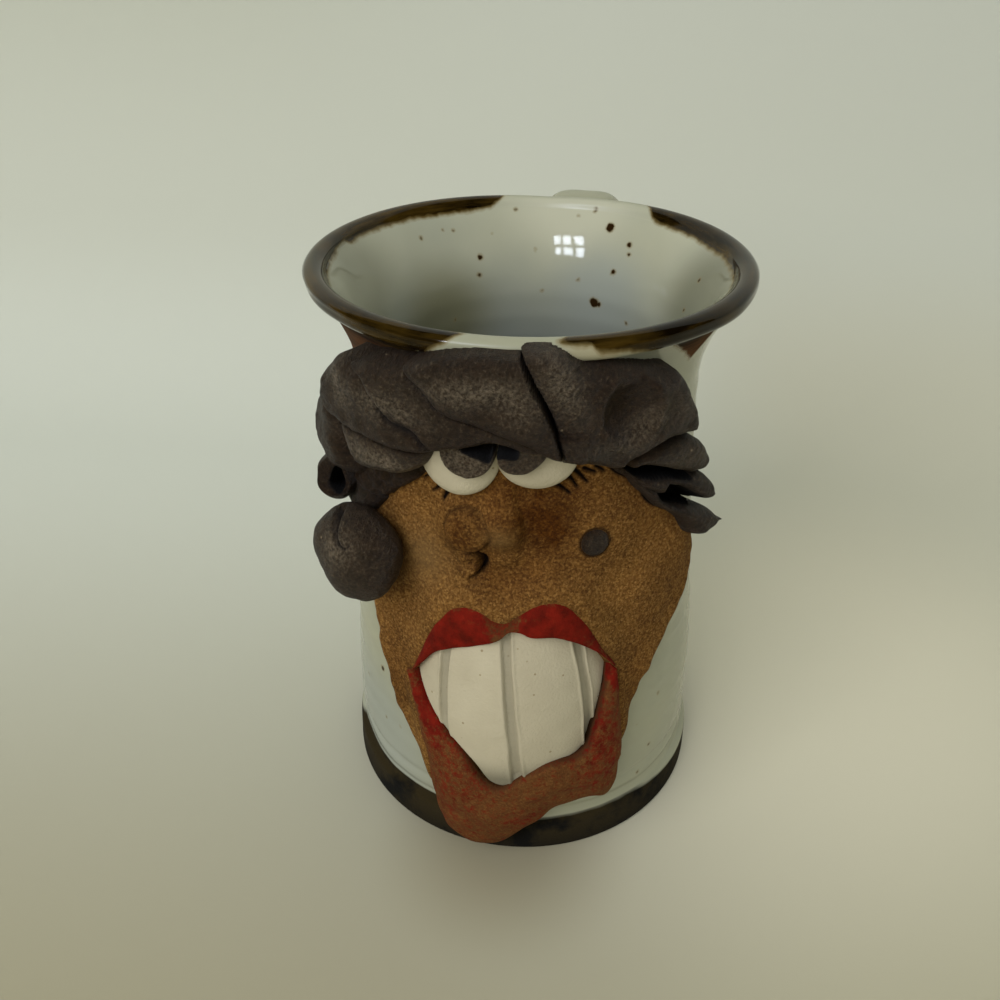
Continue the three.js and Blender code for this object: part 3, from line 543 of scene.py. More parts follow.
# Face. A slab of groggy brown clay rolled out, cut to an outline and wrapped round the wall. The nose is
# a roll blended in with a finger, the nostril a pressed pellet, and the lashes are needle scratches.
# Places on it are measured round the wall at face_radius, and none stands further out than front_reach.
face_radius, front_reach = 40.0, 51.7


def place(across, up, out):
    """Points on the clay laid on the wall, in mm: round the wall, above the table, out from the wall."""
    across, up, out = np.broadcast_arrays(np.asarray(across, float), np.asarray(up, float), out)
    reach = core_radius(up) + out
    turned = across / face_radius
    return np.stack([reach * np.sin(turned), -reach * np.cos(turned), up], -1)


def inside_by(across, up, outline):
    """How far each place is inside an outline, in mm, and below zero outside it."""
    nearest = np.full(across.shape, 1e9)
    inside = np.zeros(across.shape, bool)
    for (ax, ay), (bx, by) in zip(outline, np.roll(outline, -1, 0)):
        dx, dy = bx - ax, by - ay
        t = np.clip(((across - ax) * dx + (up - ay) * dy) / (dx * dx + dy * dy + 1e-12), 0, 1)
        nearest = np.minimum(nearest, np.hypot(across - ax - t * dx, up - ay - t * dy))
        inside ^= ((ay > up) != (by > up)) & (across < (bx - ax) * (up - ay) / (by - ay + 1e-12) + ax)
    return np.where(inside, nearest, -nearest)


def from_line(across, up, line):
    """How far each place is from a drawn line, in mm, and how far along it the nearest point is."""
    nearest, share = np.full(across.shape, 1e9), np.zeros(across.shape)
    reach = np.r_[0, np.cumsum(np.linalg.norm(np.diff(line[:, :2], axis=0), axis=1))]
    for i in range(len(line) - 1):
        (ax, ay), (bx, by) = line[i, :2], line[i + 1, :2]
        dx, dy = bx - ax, by - ay
        t = np.clip(((across - ax) * dx + (up - ay) * dy) / (dx * dx + dy * dy + 1e-12), 0, 1)
        away = np.hypot(across - ax - t * dx, up - ay - t * dy)
        closer = away < nearest
        nearest = np.where(closer, away, nearest)
        share = np.where(closer, (reach[i] + t * (reach[i + 1] - reach[i])) / reach[-1], share)
    return nearest, share


def step_up(value, low, high):
    """A smooth step from 0 at low to 1 at high."""
    share = np.clip((value - low) / (high - low), 0, 1)
    return share * share * (3 - 2 * share)


def blend_max(a, b, soft):
    """The higher of two surfaces, with the seam between them filled over a width of soft."""
    share = np.clip(0.5 + 0.5 * (a - b) / soft, 0, 1)
    return b + (a - b) * share + soft * share * (1 - share)


def inside_round(across, up, corners, steps=5):
    """How far each place is inside a smooth outline through corners, in mm."""
    return inside_by(across, up, smooth_line(corners, closed=True, steps=steps))


def flat_grain(across, up, size, seed):
    """Smooth noise at places on the wall, in lumps of about size mm."""
    places = np.stack([across.ravel(), up.ravel(), np.zeros(across.size)], 1)
    return grain(places, size, seed).reshape(across.shape)


def grid_cells(shown, join=np.logical_and):
    """The cells of a grid that show: those whose four corners all show, or with logical_or any of them."""
    return join.reduce([shown[:-1, :-1], shown[:-1, 1:], shown[1:, 1:], shown[1:, :-1]])


def lay_sheet(name, front, back, keep, material, nodes, fields):
    """Lays a closed sheet of clay: the kept cells of its face, the same of its back, and the rim between."""
    index = np.arange(front[..., 0].size).reshape(front.shape[:2])
    quads = np.stack([index[:-1, :-1], index[:-1, 1:], index[1:, 1:], index[1:, :-1]], -1)[keep]
    seen = {}
    for a, b in np.concatenate([quads[:, [i, (i + 1) % 4]] for i in range(4)]).tolist():
        key = (min(a, b), max(a, b))
        seen[key] = None if key in seen else (a, b)
    rim = np.array([edge for edge in seen.values() if edge])
    walls = np.stack([rim[:, 1], rim[:, 0], rim[:, 0] + index.size, rim[:, 1] + index.size], 1)
    faces = np.concatenate([quads, quads[:, ::-1] + index.size, walls])
    # Points that no face uses are left out.
    used, faces = np.unique(faces, return_inverse=True)
    points = np.concatenate([front.reshape(-1, 3), back.reshape(-1, 3)])[used]
    fields = {field: np.tile(values.ravel(), 2)[used] for field, values in fields.items()}
    clay_piece(name, points, faces.reshape(-1, 4).tolist(), material, nodes, fields)


upper_edge = [(-17.6, 52.4, 4), (-15.4, 58.6, 5), (-13.4, 64.2, 5.8), (-11.2, 68.4, 6.2), (-8.8, 71.6, 6.4),
              (-6.2, 72.6, 6.5), (-3.6, 71.6, 6.5), (-1.2, 69.8, 6.4), (0.8, 69.6, 6.4), (3.2, 71.8, 6.4),
              (5.8, 73.8, 6.4), (8.4, 74.6, 6.3), (11.2, 73.6, 6.1), (13.8, 70.6, 5.8), (16.2, 66.2, 5.3),
              (18.6, 60.8, 4.7), (21.4, 55.8, 4)]
upper_mouth = [(-17.4, 51.6, 5), (-14.6, 55.8, 6), (-12.2, 59.4, 6.8), (-9.4, 61.8, 7.6), (-5.1, 63.7, 8.2),
               (-1.7, 65.8, 8.6), (0, 67.2, 8.6), (1.3, 68.7, 8.4), (3.3, 68.5, 8.4), (5, 67.6, 8.5),
               (9.2, 67.1, 8.2), (11.8, 65.6, 7.8), (14.4, 63.5, 7.2), (17.1, 60.9, 6.4), (20.6, 56.2, 4.6)]
lower_mouth = [(-17.8, 51, 4.4), (-11.4, 43.8, 7.6), (-6, 37.2, 9.6), (-2.4, 31, 10.4), (0.2, 29.4, 10.4),
               (2.6, 31.8, 10.5), (4.8, 34.3, 10.6), (7.7, 36.7, 10.4), (10.2, 37, 10), (12.8, 36.6, 9.4),
               (15, 37.8, 8.7), (16.6, 42.8, 8), (18.1, 47.9, 7), (20.6, 55.6, 4.4)]
lower_edge = [(-19.6, 50.4, 3.6), (-16.4, 40, 4.8), (-14.4, 29, 5), (-13.2, 19, 5.2), (-12, 13.4, 5.2),
              (-10.4, 9.2, 5), (-8.2, 6.4, 4.9), (-5.4, 5.1, 4.8), (-2.2, 5.3, 4.7), (0.9, 7.5, 4.8),
              (3, 10.2, 5), (5, 12.8, 5.2), (7.3, 15.5, 5.4), (9.5, 18.3, 5.4), (12, 20, 5.4),
              (16, 20.6, 5.2), (20.2, 19.4, 5), (22.2, 22.4, 4.8), (23.4, 31, 4.6), (23, 42, 4.4),
              (22.2, 53.6, 3.6)]
face_outline = [
    (-15, 109), (-25, 102), (-31, 91), (-33.4, 79), (-32.4, 69), (-30.6, 60.3), (-28.2, 51.6), (-25.8, 46.8),
    (-24.7, 42), (-21.5, 35.7), (-17.5, 29.4), (-12.6, 22), (0, 24), (14, 22), (20.4, 22.4), (22.6, 28),
    (23.6, 34.9), (25.8, 40.1), (27.4, 45.1), (29.4, 48.6), (31.8, 51.6), (35.2, 56.2), (40.6, 61), (44.2, 67),
    (44.4, 73), (43, 81), (38, 92), (28, 102), (16, 109)]

grid = 0.31
across, up = np.meshgrid(np.arange(-36, 47, grid), np.arange(19, 111, grid))
soft_lumps, fine_lumps = flat_grain(across, up, 13, 7), flat_grain(across, up, 3.2, 8)
rim_depth = inside_round(across, up, face_outline) + fine_lumps * 0.5 + soft_lumps * 0.3 + 0.25
skin = 3.6 + soft_lumps * 0.9 + fine_lumps * 0.16

# The nose's ridge, as points with its top and its half width.
nose_line = smooth_line([(0.2, 101, 4.2, 2.2), (-0.7, 96.5, 4.9, 2.6), (-0.9, 92.8, 6.3, 3.3),
                         (-0.5, 89, 8.1, 4.1), (-0.3, 86.4, 7.3, 3.9), (0, 84, 4.7, 3.0)], steps=6)
away, share = from_line(across, up, nose_line)
ridge_share = np.linspace(0, 1, len(nose_line))
nose_top = np.interp(share, ridge_share, nose_line[:, 2])
nose_half = np.interp(share, ridge_share, nose_line[:, 3])
nose = skin + (nose_top - skin) * np.sqrt(np.clip(1 - (away / nose_half) ** 2, 0, 1))
nose -= np.clip(away - nose_half, 0, 9)
skin = blend_max(skin, nose, 3.4)
# The nostril's pellet, pressed flat, with a seam round it.
pellet = np.hypot((across + 6.6) / 4.3, (up - 88.4) / 4.7)
disc = 5.6 + 1.7 * np.sqrt(np.clip(1 - pellet ** 3, 0, 1)) - 3 * np.clip(pellet - 1, 0, 2)
cut = 1.2 * (1 - step_up(across, -6.8, -3.8))
skin = np.where(pellet < 1.0, np.maximum(skin - cut, disc), blend_max(skin, disc, 0.5))
seam_mark = np.exp(-((pellet - 1.03) * 4.4 / 0.34) ** 2) * step_up(-across - 0.4 * (up - 88), -1.5, 3.5)
skin -= 0.6 * seam_mark
# A crack where the nose was pressed on, deepest in its bend, and the curled edge of clay left of it.
crack = smooth_line([(-6.6, 82.9), (-5.5, 83.3), (-4.4, 82.8), (-3.7, 81.4), (-3.8, 79.8), (-4.8, 78.4),
                     (-6.4, 77.4)])
away, share = from_line(across, up, crack)
bend = np.exp(-((share - 0.45) / 0.24) ** 2)
crack_mark = np.exp(-(away / (0.24 + 0.4 * bend + fine_lumps * 0.3)) ** 2) * np.clip(
    np.minimum(share, 1 - share) * 6, 0, 1)
crumb_line = smooth_line([(-6.6, 82.3), (-5.4, 81.9), (-5.0, 80.6), (-5.3, 79.2), (-6.6, 78.1)])
away, share = from_line(across, up, crumb_line)
crumb_roll = np.exp(-(away / 0.62) ** 2) * (1 + 0.45 * np.sin(share * 26))
curled = np.hypot((across + 7.0) / 3.0, (up - 79.9) / 3.4)
skin += (0.9 + 0.9 * flat_grain(across, up, 1.1, 9)) * np.clip(1 - curled, 0, 1) ** 0.6 + 0.9 * crumb_roll
skin -= 2.2 * crack_mark

# The skin swells up to the lips round the mouth and falls away behind the teeth.
for edge, reach in ((upper_edge, 4.2), (lower_edge, 2.2)):
    line = smooth_line(edge)
    away, share = from_line(across, up, line)
    lip_top_at = np.interp(share, np.linspace(0, 1, len(line)), line[:, 2])
    skin = np.maximum(skin, skin + (lip_top_at + 0.5 - skin) * np.exp(-(away / reach) ** 2))
lips_outline = np.concatenate([smooth_line(upper_edge)[:, :2], smooth_line(lower_edge)[::-1, :2]])
under_lips = inside_by(across, up, lips_outline)
skin -= step_up(under_lips, 0.5, 2.2) * 3.2

# Lashes are scratched on both sides, deep at the eye and finer outwards, and painted dark in their scratches as
# painted shade.
lashes = [
    ([(8.56, 98.53), (10.24, 97.38), (11.95, 95.95)], 0.34),
    ([(11.07, 100.24), (12.23, 98.87), (13.42, 97.05)], 0.34),
    ([(12.72, 100.7), (13.89, 99.52), (15.29, 97.85)], 0.30), ([(14.6, 100.8), (16.75, 99.72)], 0.24),
    ([(16.89, 100.9), (18.73, 99.57)], 0.22), ([(-11.07, 94.71), (-11.92, 92.99)], 0.26),
    ([(-12.94, 95.31), (-14.41, 93.9)], 0.2), ([(-14.61, 97.42), (-16.2, 96.4)], 0.2),
]
recess_shade = np.zeros(across.shape)
for stroke, half in lashes:
    away, share = from_line(across, up, smooth_line(stroke))
    mark = np.exp(-(away / (half * (1.6 - 0.7 * share) + fine_lumps * 0.25)) ** 2)
    skin -= 0.8 * mark
    recess_shade = np.maximum(recess_shade, mark)
# The nostril's seam and the crack are painted dark too, as painted shade in their grooves.
recess_shade = np.maximum(recess_shade, np.maximum(seam_mark * 0.35, crack_mark * 0.85))
# A thin ring of painted shade marks the seam round the cheek's spot.
spot_ring = np.hypot((across - 17.1) / 2.9, (up - 84.8) / 3.05)
recess_shade = np.maximum(recess_shade, 0.7 * np.exp(-((spot_ring - 1) * 2.9 / 0.3) ** 2))
# Painted shade, partly over the clay's own darker patches: between the nose and the spot, over the nose's
# left side, under the hair, and beside the lower lip. Each has its middle, its half sizes and its strength.
shade_and_tone = np.zeros(across.shape)
for middle_across, middle_up, wide, tall, strength in (
        (7.5, 91.5, 6.5, 5, 1.0), (7.5, 86, 6, 4, 0.8), (-8, 89, 3.6, 4.6, 0.5), (0, 98, 8, 3.5, 0.65),
        (30, 92, 12, 9, 0.35), (8, 80, 8, 3, 0.4), (-3, 80, 3, 5, 0.4), (12, 96, 6, 4, 0.35),
        (1, 76.5, 8, 4, 0.45), (-6.6, 88.4, 4.6, 5, 0.3), (-0.5, 93, 4.5, 4, 0.35), (-9, 84, 5, 2.5, 0.3),
        (36, 66, 6, 8, 0.2), (-23, 46, 5, 12, 0.55), (26, 46, 4.5, 11, 0.45)):
    shade_and_tone += strength * np.exp(-(((across - middle_across) / wide) ** 2 + ((up - middle_up) / tall) ** 2))

# A finger smoothed the nose's tip and drew its grit away; its paler tone is partly a painted highlight.
# A paler place on the left cheek, beside the ball, is painted light.
smoothed_and_lit = 0.5 * np.exp(-(((across + 0.2) / 2.9) ** 2 + ((up - 88.2) / 2.7) ** 2))
smoothed_and_lit += 0.4 * np.exp(-(((across + 16) / 5) ** 2 + ((up - 79) / 6) ** 2))

# Under the curls' hollows the slab is dented deep, and painted black there as painted shade.
hollows = [
    [(21.4, 101.4), (23.1, 101.6), (26.6, 100.4), (30.6, 98.1), (36.1, 94.8), (35.4, 94.7), (30.7, 97),
     (26.8, 98.2), (23.2, 99.7), (21.9, 100.6)],
    [(28.6, 93.8), (29.9, 94.9), (32.5, 93.6), (37.5, 89.8), (40.1, 87.2), (40.5, 86.3), (34.3, 89.1),
     (30.5, 91.4)],
]
for hollow_line in hollows:
    dent = inside_round(across, up, hollow_line)
    skin += (-0.2 - skin) * step_up(dent, -0.9, -0.3)
    recess_shade = np.maximum(recess_shade, step_up(dent, -2.6, -1.8))
edge_share = np.clip(rim_depth / 1.2, 0, 1)
surface = (skin - 1.0) + np.sqrt(1 - (1 - edge_share) ** 2)
surface = -1.3 + (surface + 1.3) * step_up(rim_depth, -0.35, 0.25)
face_front, face_back, face_cells = (place(across, up, surface), place(across, up, -1.9),
                                     grid_cells(rim_depth > -0.9))
face_fields = {"shade_and_tone": shade_and_tone, "recess_shade": recess_shade, "smooth_and_lit": smoothed_and_lit, "red": np.full(across.shape, -9.0)}

# Groggy brown stoneware, left bare: a warm brown body full of paler crushed grit of 0.3 to 0.8 mm, drawn
# a little coarse so that it shows. Red slip lies on the lips, thin and worn over the grit.
skin_clay, tree, shader, place_socket = finish_of("bare_groggy_brown_stoneware",
                                                  {"IOR": 1.5, "Roughness": 0.85, "Specular IOR Level": 0.08})
cells = add(tree, "TexVoronoi", {"Scale": 2700}, {"Vector": place_socket})
some = add(tree, "SeparateColor", {}, {0: cells.outputs["Color"]})
slanted = add(tree, "Mapping", {"Rotation": (0.3, 0.7, 0.4), "Scale": (1.0, 0.5, 1.0)},
              {"Vector": place_socket})
grains = add(tree, "TexNoise", {"Scale": 1550, "Detail": 5, "Roughness": 0.8}, {"Vector": slanted})
patches_noise = add(tree, "TexNoise", {"Scale": 90, "Detail": 3}, {"Vector": place_socket})
matrix_tone = add(tree, "MixRGB", {"Color1": paint("#563717"), "Color2": paint("#714d25")},
                  {"Fac": patches_noise})
body_grain = add(tree, "MapRange", {"From Min": 0.25, "From Max": 0.95, "To Max": 0.6},
                 {"Value": some.outputs[0]})
tone = add(tree, "MixRGB", {"Color2": paint("#8d6531")}, {"Fac": body_grain, "Color1": matrix_tone})
pale_grain = add(tree, "MapRange", {"From Min": 0.7, "From Max": 1.0, "To Max": 0.5},
                 {"Value": some.outputs[1]})
grain_share = add(tree, "MapRange", {"From Min": 0.52, "From Max": 0.7, "To Max": 0.66}, {"Value": grains})
pale_grain = add(tree, "Math", {"operation": "MAXIMUM"}, {0: pale_grain, 1: grain_share})
tone = add(tree, "MixRGB", {"Color2": paint("#ba8e50")}, {"Fac": pale_grain, "Color1": tone})
dark_grain = add(tree, "MapRange", {"From Min": 0.48, "From Max": 0.33, "To Max": 0.65}, {"Value": grains})
tone = add(tree, "MixRGB", {"Color2": paint("#33200c")}, {"Fac": dark_grain, "Color1": tone})
uneven = add(tree, "MapRange", {"From Min": 0.3, "From Max": 0.7, "To Min": 0.8, "To Max": 1.12},
             {"Value": patches_noise})
tone = add(tree, "MixRGB", {"blend_type": "MULTIPLY", "Fac": 1.0}, {"Color1": tone, "Color2": uneven})
smooth_and_lit_field = add(tree, "Attribute", {"attribute_name": "smooth_and_lit"}).outputs["Fac"]
tone = add(tree, "MixRGB", {"Color2": paint("#8b7048")}, {"Fac": smooth_and_lit_field, "Color1": tone})
# Painted shade, with some of the clay's own darker tone, broken by a mottle.
shade_and_tone_field = add(tree, "Attribute", {"attribute_name": "shade_and_tone"}).outputs["Fac"]
mottle = add(tree, "TexNoise", {"Scale": 420, "Detail": 3}, {"Vector": place_socket})
mottle = add(tree, "MapRange", {"To Min": 0.3, "To Max": 1.5}, {"Value": mottle})
dark_share = add(tree, "Math", {"operation": "MULTIPLY", "use_clamp": True}, {0: shade_and_tone_field, 1: mottle})
tone = add(tree, "MixRGB", {"blend_type": "MULTIPLY", "Color2": paint("#a38a5c")},
           {"Fac": dark_share, "Color1": tone})
# Painted shade darkens the scratches, seams, crack and hollows.
recess_shade_field = add(tree, "Attribute", {"attribute_name": "recess_shade"}).outputs["Fac"]
recess_shade_field = add(tree, "Math", {"operation": "MULTIPLY", "use_clamp": True, 1: 1.35}, {0: recess_shade_field})
tone = add(tree, "MixRGB", {"Color2": paint("#150b04")}, {"Fac": recess_shade_field, "Color1": tone})
red_field = add(tree, "Attribute", {"attribute_name": "red"}).outputs["Fac"]
wash = add(tree, "MapRange", {"From Min": -3.0, "From Max": -1.0, "To Max": 0.5}, {"Value": red_field})
tone = add(tree, "MixRGB", {"Color2": paint("#6c4226")}, {"Fac": wash, "Color1": tone})
worn = add(tree, "TexNoise", {"Scale": 680, "Detail": 5, "Roughness": 0.8}, {"Vector": place_socket})
worn = add(tree, "MapRange", {"From Min": 0.3, "From Max": 0.7, "To Min": -1.5, "To Max": 1.5}, {"Value": worn})
red_field = add(tree, "Math", {"operation": "ADD"}, {0: red_field, 1: worn})
red_share = add(tree, "MapRange", {"From Min": -0.7, "From Max": 0.9, "To Max": 0.94}, {"Value": red_field})
thick = add(tree, "TexNoise", {"Scale": 330, "Detail": 4, "Roughness": 0.6}, {"Vector": place_socket})
thick = add(tree, "MapRange", {"From Min": 0.35, "From Max": 0.65}, {"Value": thick})
slip = add(tree, "MixRGB", {"Color1": paint("#5a0b03"), "Color2": paint("#7f160a")}, {"Fac": thick})
tone = add(tree, "MixRGB", {}, {"Fac": red_share, "Color1": tone, "Color2": slip})
tree.links.new(tone.outputs[0], shader.inputs["Base Color"])
pits = add(tree, "TexNoise", {"Scale": 2400, "Detail": 4, "Roughness": 0.7}, {"Vector": place_socket})
pits = add(tree, "Math", {"operation": "ADD"}, {0: pits, 1: some.outputs[1]})
lift = add(tree, "Bump", {"Strength": 0.7, "Distance": 0.00022}, {"Height": pits})
tree.links.new(lift.outputs[0], shader.inputs["Normal"])
lay_sheet("face_slab_with_nose", face_front, face_back, face_cells, skin_clay,
          ["face_slab", "nose", "nostril_left"], face_fields)


# Lips. Two strips of the brown clay, crowned with a finger and brushed with red slip. The lower one runs
# round the teeth and hangs in a point at the chin, where the slip is worn to a mottle.
def lay_lip(name, node, first_edge, second_edge, bulge, steps, seed, red_of, shade_of, seam_shade_most):
    """Lays one lip between two edge lines, in steps along it, with its slip, its darker places and the painted
    shade of its seam.
    """
    columns, root, edge_share = 44, 6, 0.09
    spots, share = np.linspace(0, 1, steps + 1), np.linspace(0, 1, columns)
    sides = []
    for edge in (first_edge, second_edge):
        line = smooth_line(edge, steps=30)
        reach = np.r_[0, np.cumsum(np.linalg.norm(np.diff(line[:, :2], axis=0), axis=1))]
        sides.append(np.stack([np.interp(spots * reach[-1], reach, line[:, k]) for k in range(3)], 1))
    rows = sides[0][:, None] * (1 - share)[None, :, None] + sides[1][:, None] * share[None, :, None]
    near_edge = 1 - np.clip(np.minimum(share, 1 - share) / edge_share, 0, 1)
    edge_drop = 0.9 * (1 - np.sqrt(np.clip(1 - near_edge ** 2, 0, 1)))
    rough = grain((rows * [1, 1, 0.5]).reshape(-1, 3), 4.5, seed).reshape(rows.shape[:2])
    rows[..., 2] += bulge * np.sin(np.pi * share) ** 0.6 - edge_drop + rough * 0.55
    rows[..., 2] = np.minimum(rows[..., 2], front_reach - core_radius(rows[..., 1]))
    roots = np.stack(sides[::-1], 1)
    points = np.concatenate([place(rows[..., 0], rows[..., 1], rows[..., 2]),
                             place(roots[..., 0], roots[..., 1], roots[..., 2] - root)], 1)
    along_lip, over_lip = np.meshgrid(spots, share, indexing="ij")
    # Painted shade runs as a dark seam along the first edge, where the lower lip meets the teeth, plainest at
    # the right.
    seam = seam_shade_most * np.exp(-(over_lip / 0.025) ** 2) * (0.6 + 0.4 * step_up(along_lip, 0.5, 0.75))
    fields = {field: np.concatenate([values, np.full((len(rows), 2), behind)], 1) for field, values, behind in (
        ("red", red_of(along_lip, over_lip, rows), -9.0), ("shade_and_tone", shade_of(along_lip, over_lip, rows), 0.0),
        ("recess_shade", seam, 0.0))}
    clay_piece(name, points.reshape(-1, 3), tube_faces(*points.shape[:2]), skin_clay, [node],
               fields)


def upper_red(along_lip, over_lip, rows):
    """Two brushed lobes of slip, apart at the dip."""
    x, y = rows[..., 0], rows[..., 1]
    left = [(-17, 52), (-15.6, 58), (-13.6, 63.6), (-11.2, 68), (-8.8, 71.2), (-6.5, 72.2), (-4.4, 72),
            (-2.7, 70.4), (-1.4, 67.8), (-1.0, 65.4), (-3.5, 63), (-7, 61.6), (-9.8, 60.4), (-12.7, 57.4)]
    right = [(3.6, 68.2), (3.8, 71.8), (5.8, 73.7), (8.3, 74.4), (10.9, 73.6), (13.4, 71), (15.3, 67.8),
             (17, 64), (18.6, 60.2), (21.6, 55.2), (19.6, 54.6), (17, 57.2), (14.6, 60.6), (12, 64.2),
             (9.3, 66), (5.4, 67)]
    lobes = np.maximum(inside_round(x, y, left), inside_round(x, y, right))
    return np.clip(lobes * 1.5 + 0.5, -0.3, 1.7 - 0.5 * step_up(x + 0.4 * (68 - y), 9, 15))


def lower_red(along_lip, over_lip, rows):
    """Slip along the left inner edge and the right arm, worn to a thin wash at the chin."""
    x, y = rows[..., 0], rows[..., 1]
    left_arm = 2.1 * np.exp(-((along_lip - 0.10) / 0.12) ** 2) * (1 - step_up(over_lip, 0.3, 0.75))
    left_low = 0.7 * np.exp(-((along_lip - 0.3) / 0.14) ** 2) * (1 - 0.5 * over_lip)
    corner = 1.9 * step_up(along_lip, 0.93, 0.97)
    right_arm = 1.0 * np.exp(-((along_lip - 0.80) / 0.13) ** 2) * (1 - step_up(over_lip, 0.5, 1.0))
    streaks = 0.9 * np.exp(-(((x - 4.5) / 3.5) ** 2 + ((y - 19) / 4) ** 2))
    streaks += 0.7 * np.exp(-(((x + 9) / 3) ** 2 + ((y - 20) / 8) ** 2))
    return np.maximum.reduce([left_arm, left_low, corner, right_arm, streaks]) - 0.8


def upper_darkening(along_lip, over_lip, rows):
    """The upper lip is darker all over, and darkest in its dip, where painted shade lies."""
    return 0.55 + 0.65 * np.exp(-(((rows[..., 0] - 0.8) / 4) ** 2))


def lower_darkening(along_lip, over_lip, rows):
    """The lower lip darkens and pales slowly along its outer side."""
    return 0.5 + 0.2 * np.sin(7 * along_lip) * over_lip


lay_lip("upper_lip_strip", "upper_lip", upper_edge, upper_mouth, 1.3, 150, 11, upper_red, upper_darkening, 0.0)
lay_lip("lower_lip_strip", "lower_lip", lower_mouth, lower_edge, 1.6, 230, 12, lower_red, lower_darkening, 0.95)

# Teeth. One slab of white clay domed out of the mouth. Three tooth lines, drawn with a blunt tool, make
# two wide teeth and a sliver at each side.
teeth_outline = [
    (-17.8, 52.4), (-9.6, 42), (-4.4, 35.6), (-1.8, 30.2), (0.8, 29), (5.4, 31.8), (12.6, 33.4), (19.2, 34.6),
    (20.4, 43.5), (22.2, 57), (17.4, 62), (12.6, 68), (6, 70.4), (0, 69), (-6, 66.4), (-12.6, 61)]
tooth_lines = [
    [(-10, 66), (-9.8, 52), (-8.8, 38)],
    [(0.4, 72), (1.8, 53.6), (3.6, 28)],
    [(13, 70), (15, 53.6), (16.4, 36)],
]
grid = 0.22
across, up = np.meshgrid(np.arange(-20, 23, grid), np.arange(26, 74, grid))
# The dome is part of an egg shape inside the wall: its face lies where a line from the mug's axis leaves it.
dome_level, dome_sunk, dome_side, dome_out, dome_tall = 42, 14, 23, 25, 39
dome_middle = float(core_radius(dome_level)) - dome_sunk
dome_turn = (across - 1) / face_radius
a = (np.sin(dome_turn) / dome_side) ** 2 + (np.cos(dome_turn) / dome_out) ** 2
b = -2 * np.cos(dome_turn) * dome_middle / dome_out ** 2
c = (dome_middle / dome_out) ** 2 - 1 + ((up - dome_level) / dome_tall) ** 2
dome = (-b + np.sqrt(np.clip(b * b - 4 * a * c, 0, None))) / (2 * a) - core_radius(up)
dome += flat_grain(across, up, 9, 14) * 0.4
rim_depth = inside_round(across, up, teeth_outline, 6)
# Each line is a flat-bottomed groove with a burr of clay thrown up on its outer side.
line_depth, line_half, burr = 0.9, 0.82, 0.3
wander = flat_grain(across, up, 7, 15) * 0.25
marks_and_low_shade = np.zeros(across.shape)
for drawn in tooth_lines:
    away, _ = from_line(across, up, smooth_line(drawn))
    away += wander
    dome -= line_depth * np.exp(-(away / line_half) ** 8) * (0.25 + 0.75 * step_up(rim_depth, 1.0, 3.0))
    dome += burr * np.exp(-((away - 1.12) / 0.24) ** 2)
    marks_and_low_shade = np.maximum(marks_and_low_shade, np.exp(-(away / 0.85) ** 8))
dome = np.minimum(dome, front_reach - 0.1 - core_radius(up))
# The teeth's low end is painted greyer too, as painted shade.
marks_and_low_shade = np.maximum(marks_and_low_shade, 2.2 * step_up(-up, -40, -29))
edge_share = np.clip((rim_depth + 0.35) / 1.5, 0, 1)
surface = 1.0 + (dome - 1.0) * np.sqrt(1 - (1 - edge_share) ** 2) ** 0.8
teeth_front, teeth_back, teeth_cells = (place(across, up, surface), place(across, up, 0.6),
                                        grid_cells(rim_depth > -0.9))

# Bare white stoneware: chalky and warm, with sparse iron grains of about 0.3 mm and grey in its tool
# marks. Its low end is painted darker, as painted shade.
white_clay, tree, shader, place_socket = finish_of("bare_white_stoneware",
                                                   {"IOR": 1.5, "Roughness": 0.82, "Specular IOR Level": 0.15})
clouds = add(tree, "TexNoise", {"Scale": 130, "Detail": 4}, {"Vector": place_socket})
tone = add(tree, "MixRGB", {"Color1": paint("#b3aa92"), "Color2": paint("#cac2aa")}, {"Fac": clouds})
tone = specked(tree, place_socket, tone, 560, 0.62, 0.17, (-0.02, 0.05), 0.7, "#857250")
marks_and_shade_field = add(tree, "Attribute", {"attribute_name": "groove"}).outputs["Fac"]
marks_and_shade_share = add(tree, "Math", {"operation": "MULTIPLY", 1: 0.58}, {0: marks_and_shade_field})
tone = add(tree, "MixRGB", {"Color2": paint("#8b8674")}, {"Fac": marks_and_shade_share, "Color1": tone})
tree.links.new(tone.outputs[0], shader.inputs["Base Color"])
chalk = add(tree, "TexNoise", {"Scale": 1700, "Detail": 3}, {"Vector": place_socket})
lift = add(tree, "Bump", {"Strength": 0.6, "Distance": 0.00025}, {"Height": chalk})
tree.links.new(lift.outputs[0], shader.inputs["Normal"])
lay_sheet("teeth_slab", teeth_front, teeth_back, teeth_cells, white_clay, ["teeth"],
          {"groove": marks_and_low_shade})


# Eyes and spot. Two discs of white clay pressed flat under the hair, each with a disc of dark clay on it,
# and one small dark disc pressed into the cheek.
def pressed_disc(name, middle, half, square, material, node, seed):
    """A disc of clay pressed on the wall: middle and half sizes are across, up and out."""
    rings, sides = 26, 64
    polar = np.linspace(0.02, np.pi - 0.02, rings)
    around = 2 * np.pi * np.arange(sides) / sides
    flat_radius = np.sin(polar)[:, None] ** (1 / square)
    pressed = np.sign(np.cos(polar)) * np.abs(np.cos(polar)) ** 0.6
    points = np.stack([flat_radius * np.cos(around), flat_radius * np.sin(around),
                       np.repeat(pressed[:, None], sides, 1)], -1).reshape(-1, 3)
    bumps = grain(points * [half[0], half[1], 1] + seed, 3.5, seed) * 0.16
    made = place(*(middle[:2] + points[:, :2] * half[:2]).T, middle[2] + points[:, 2] * half[2] + bumps)
    clay_piece(name, made, tube_faces(rings, sides), material, [node])


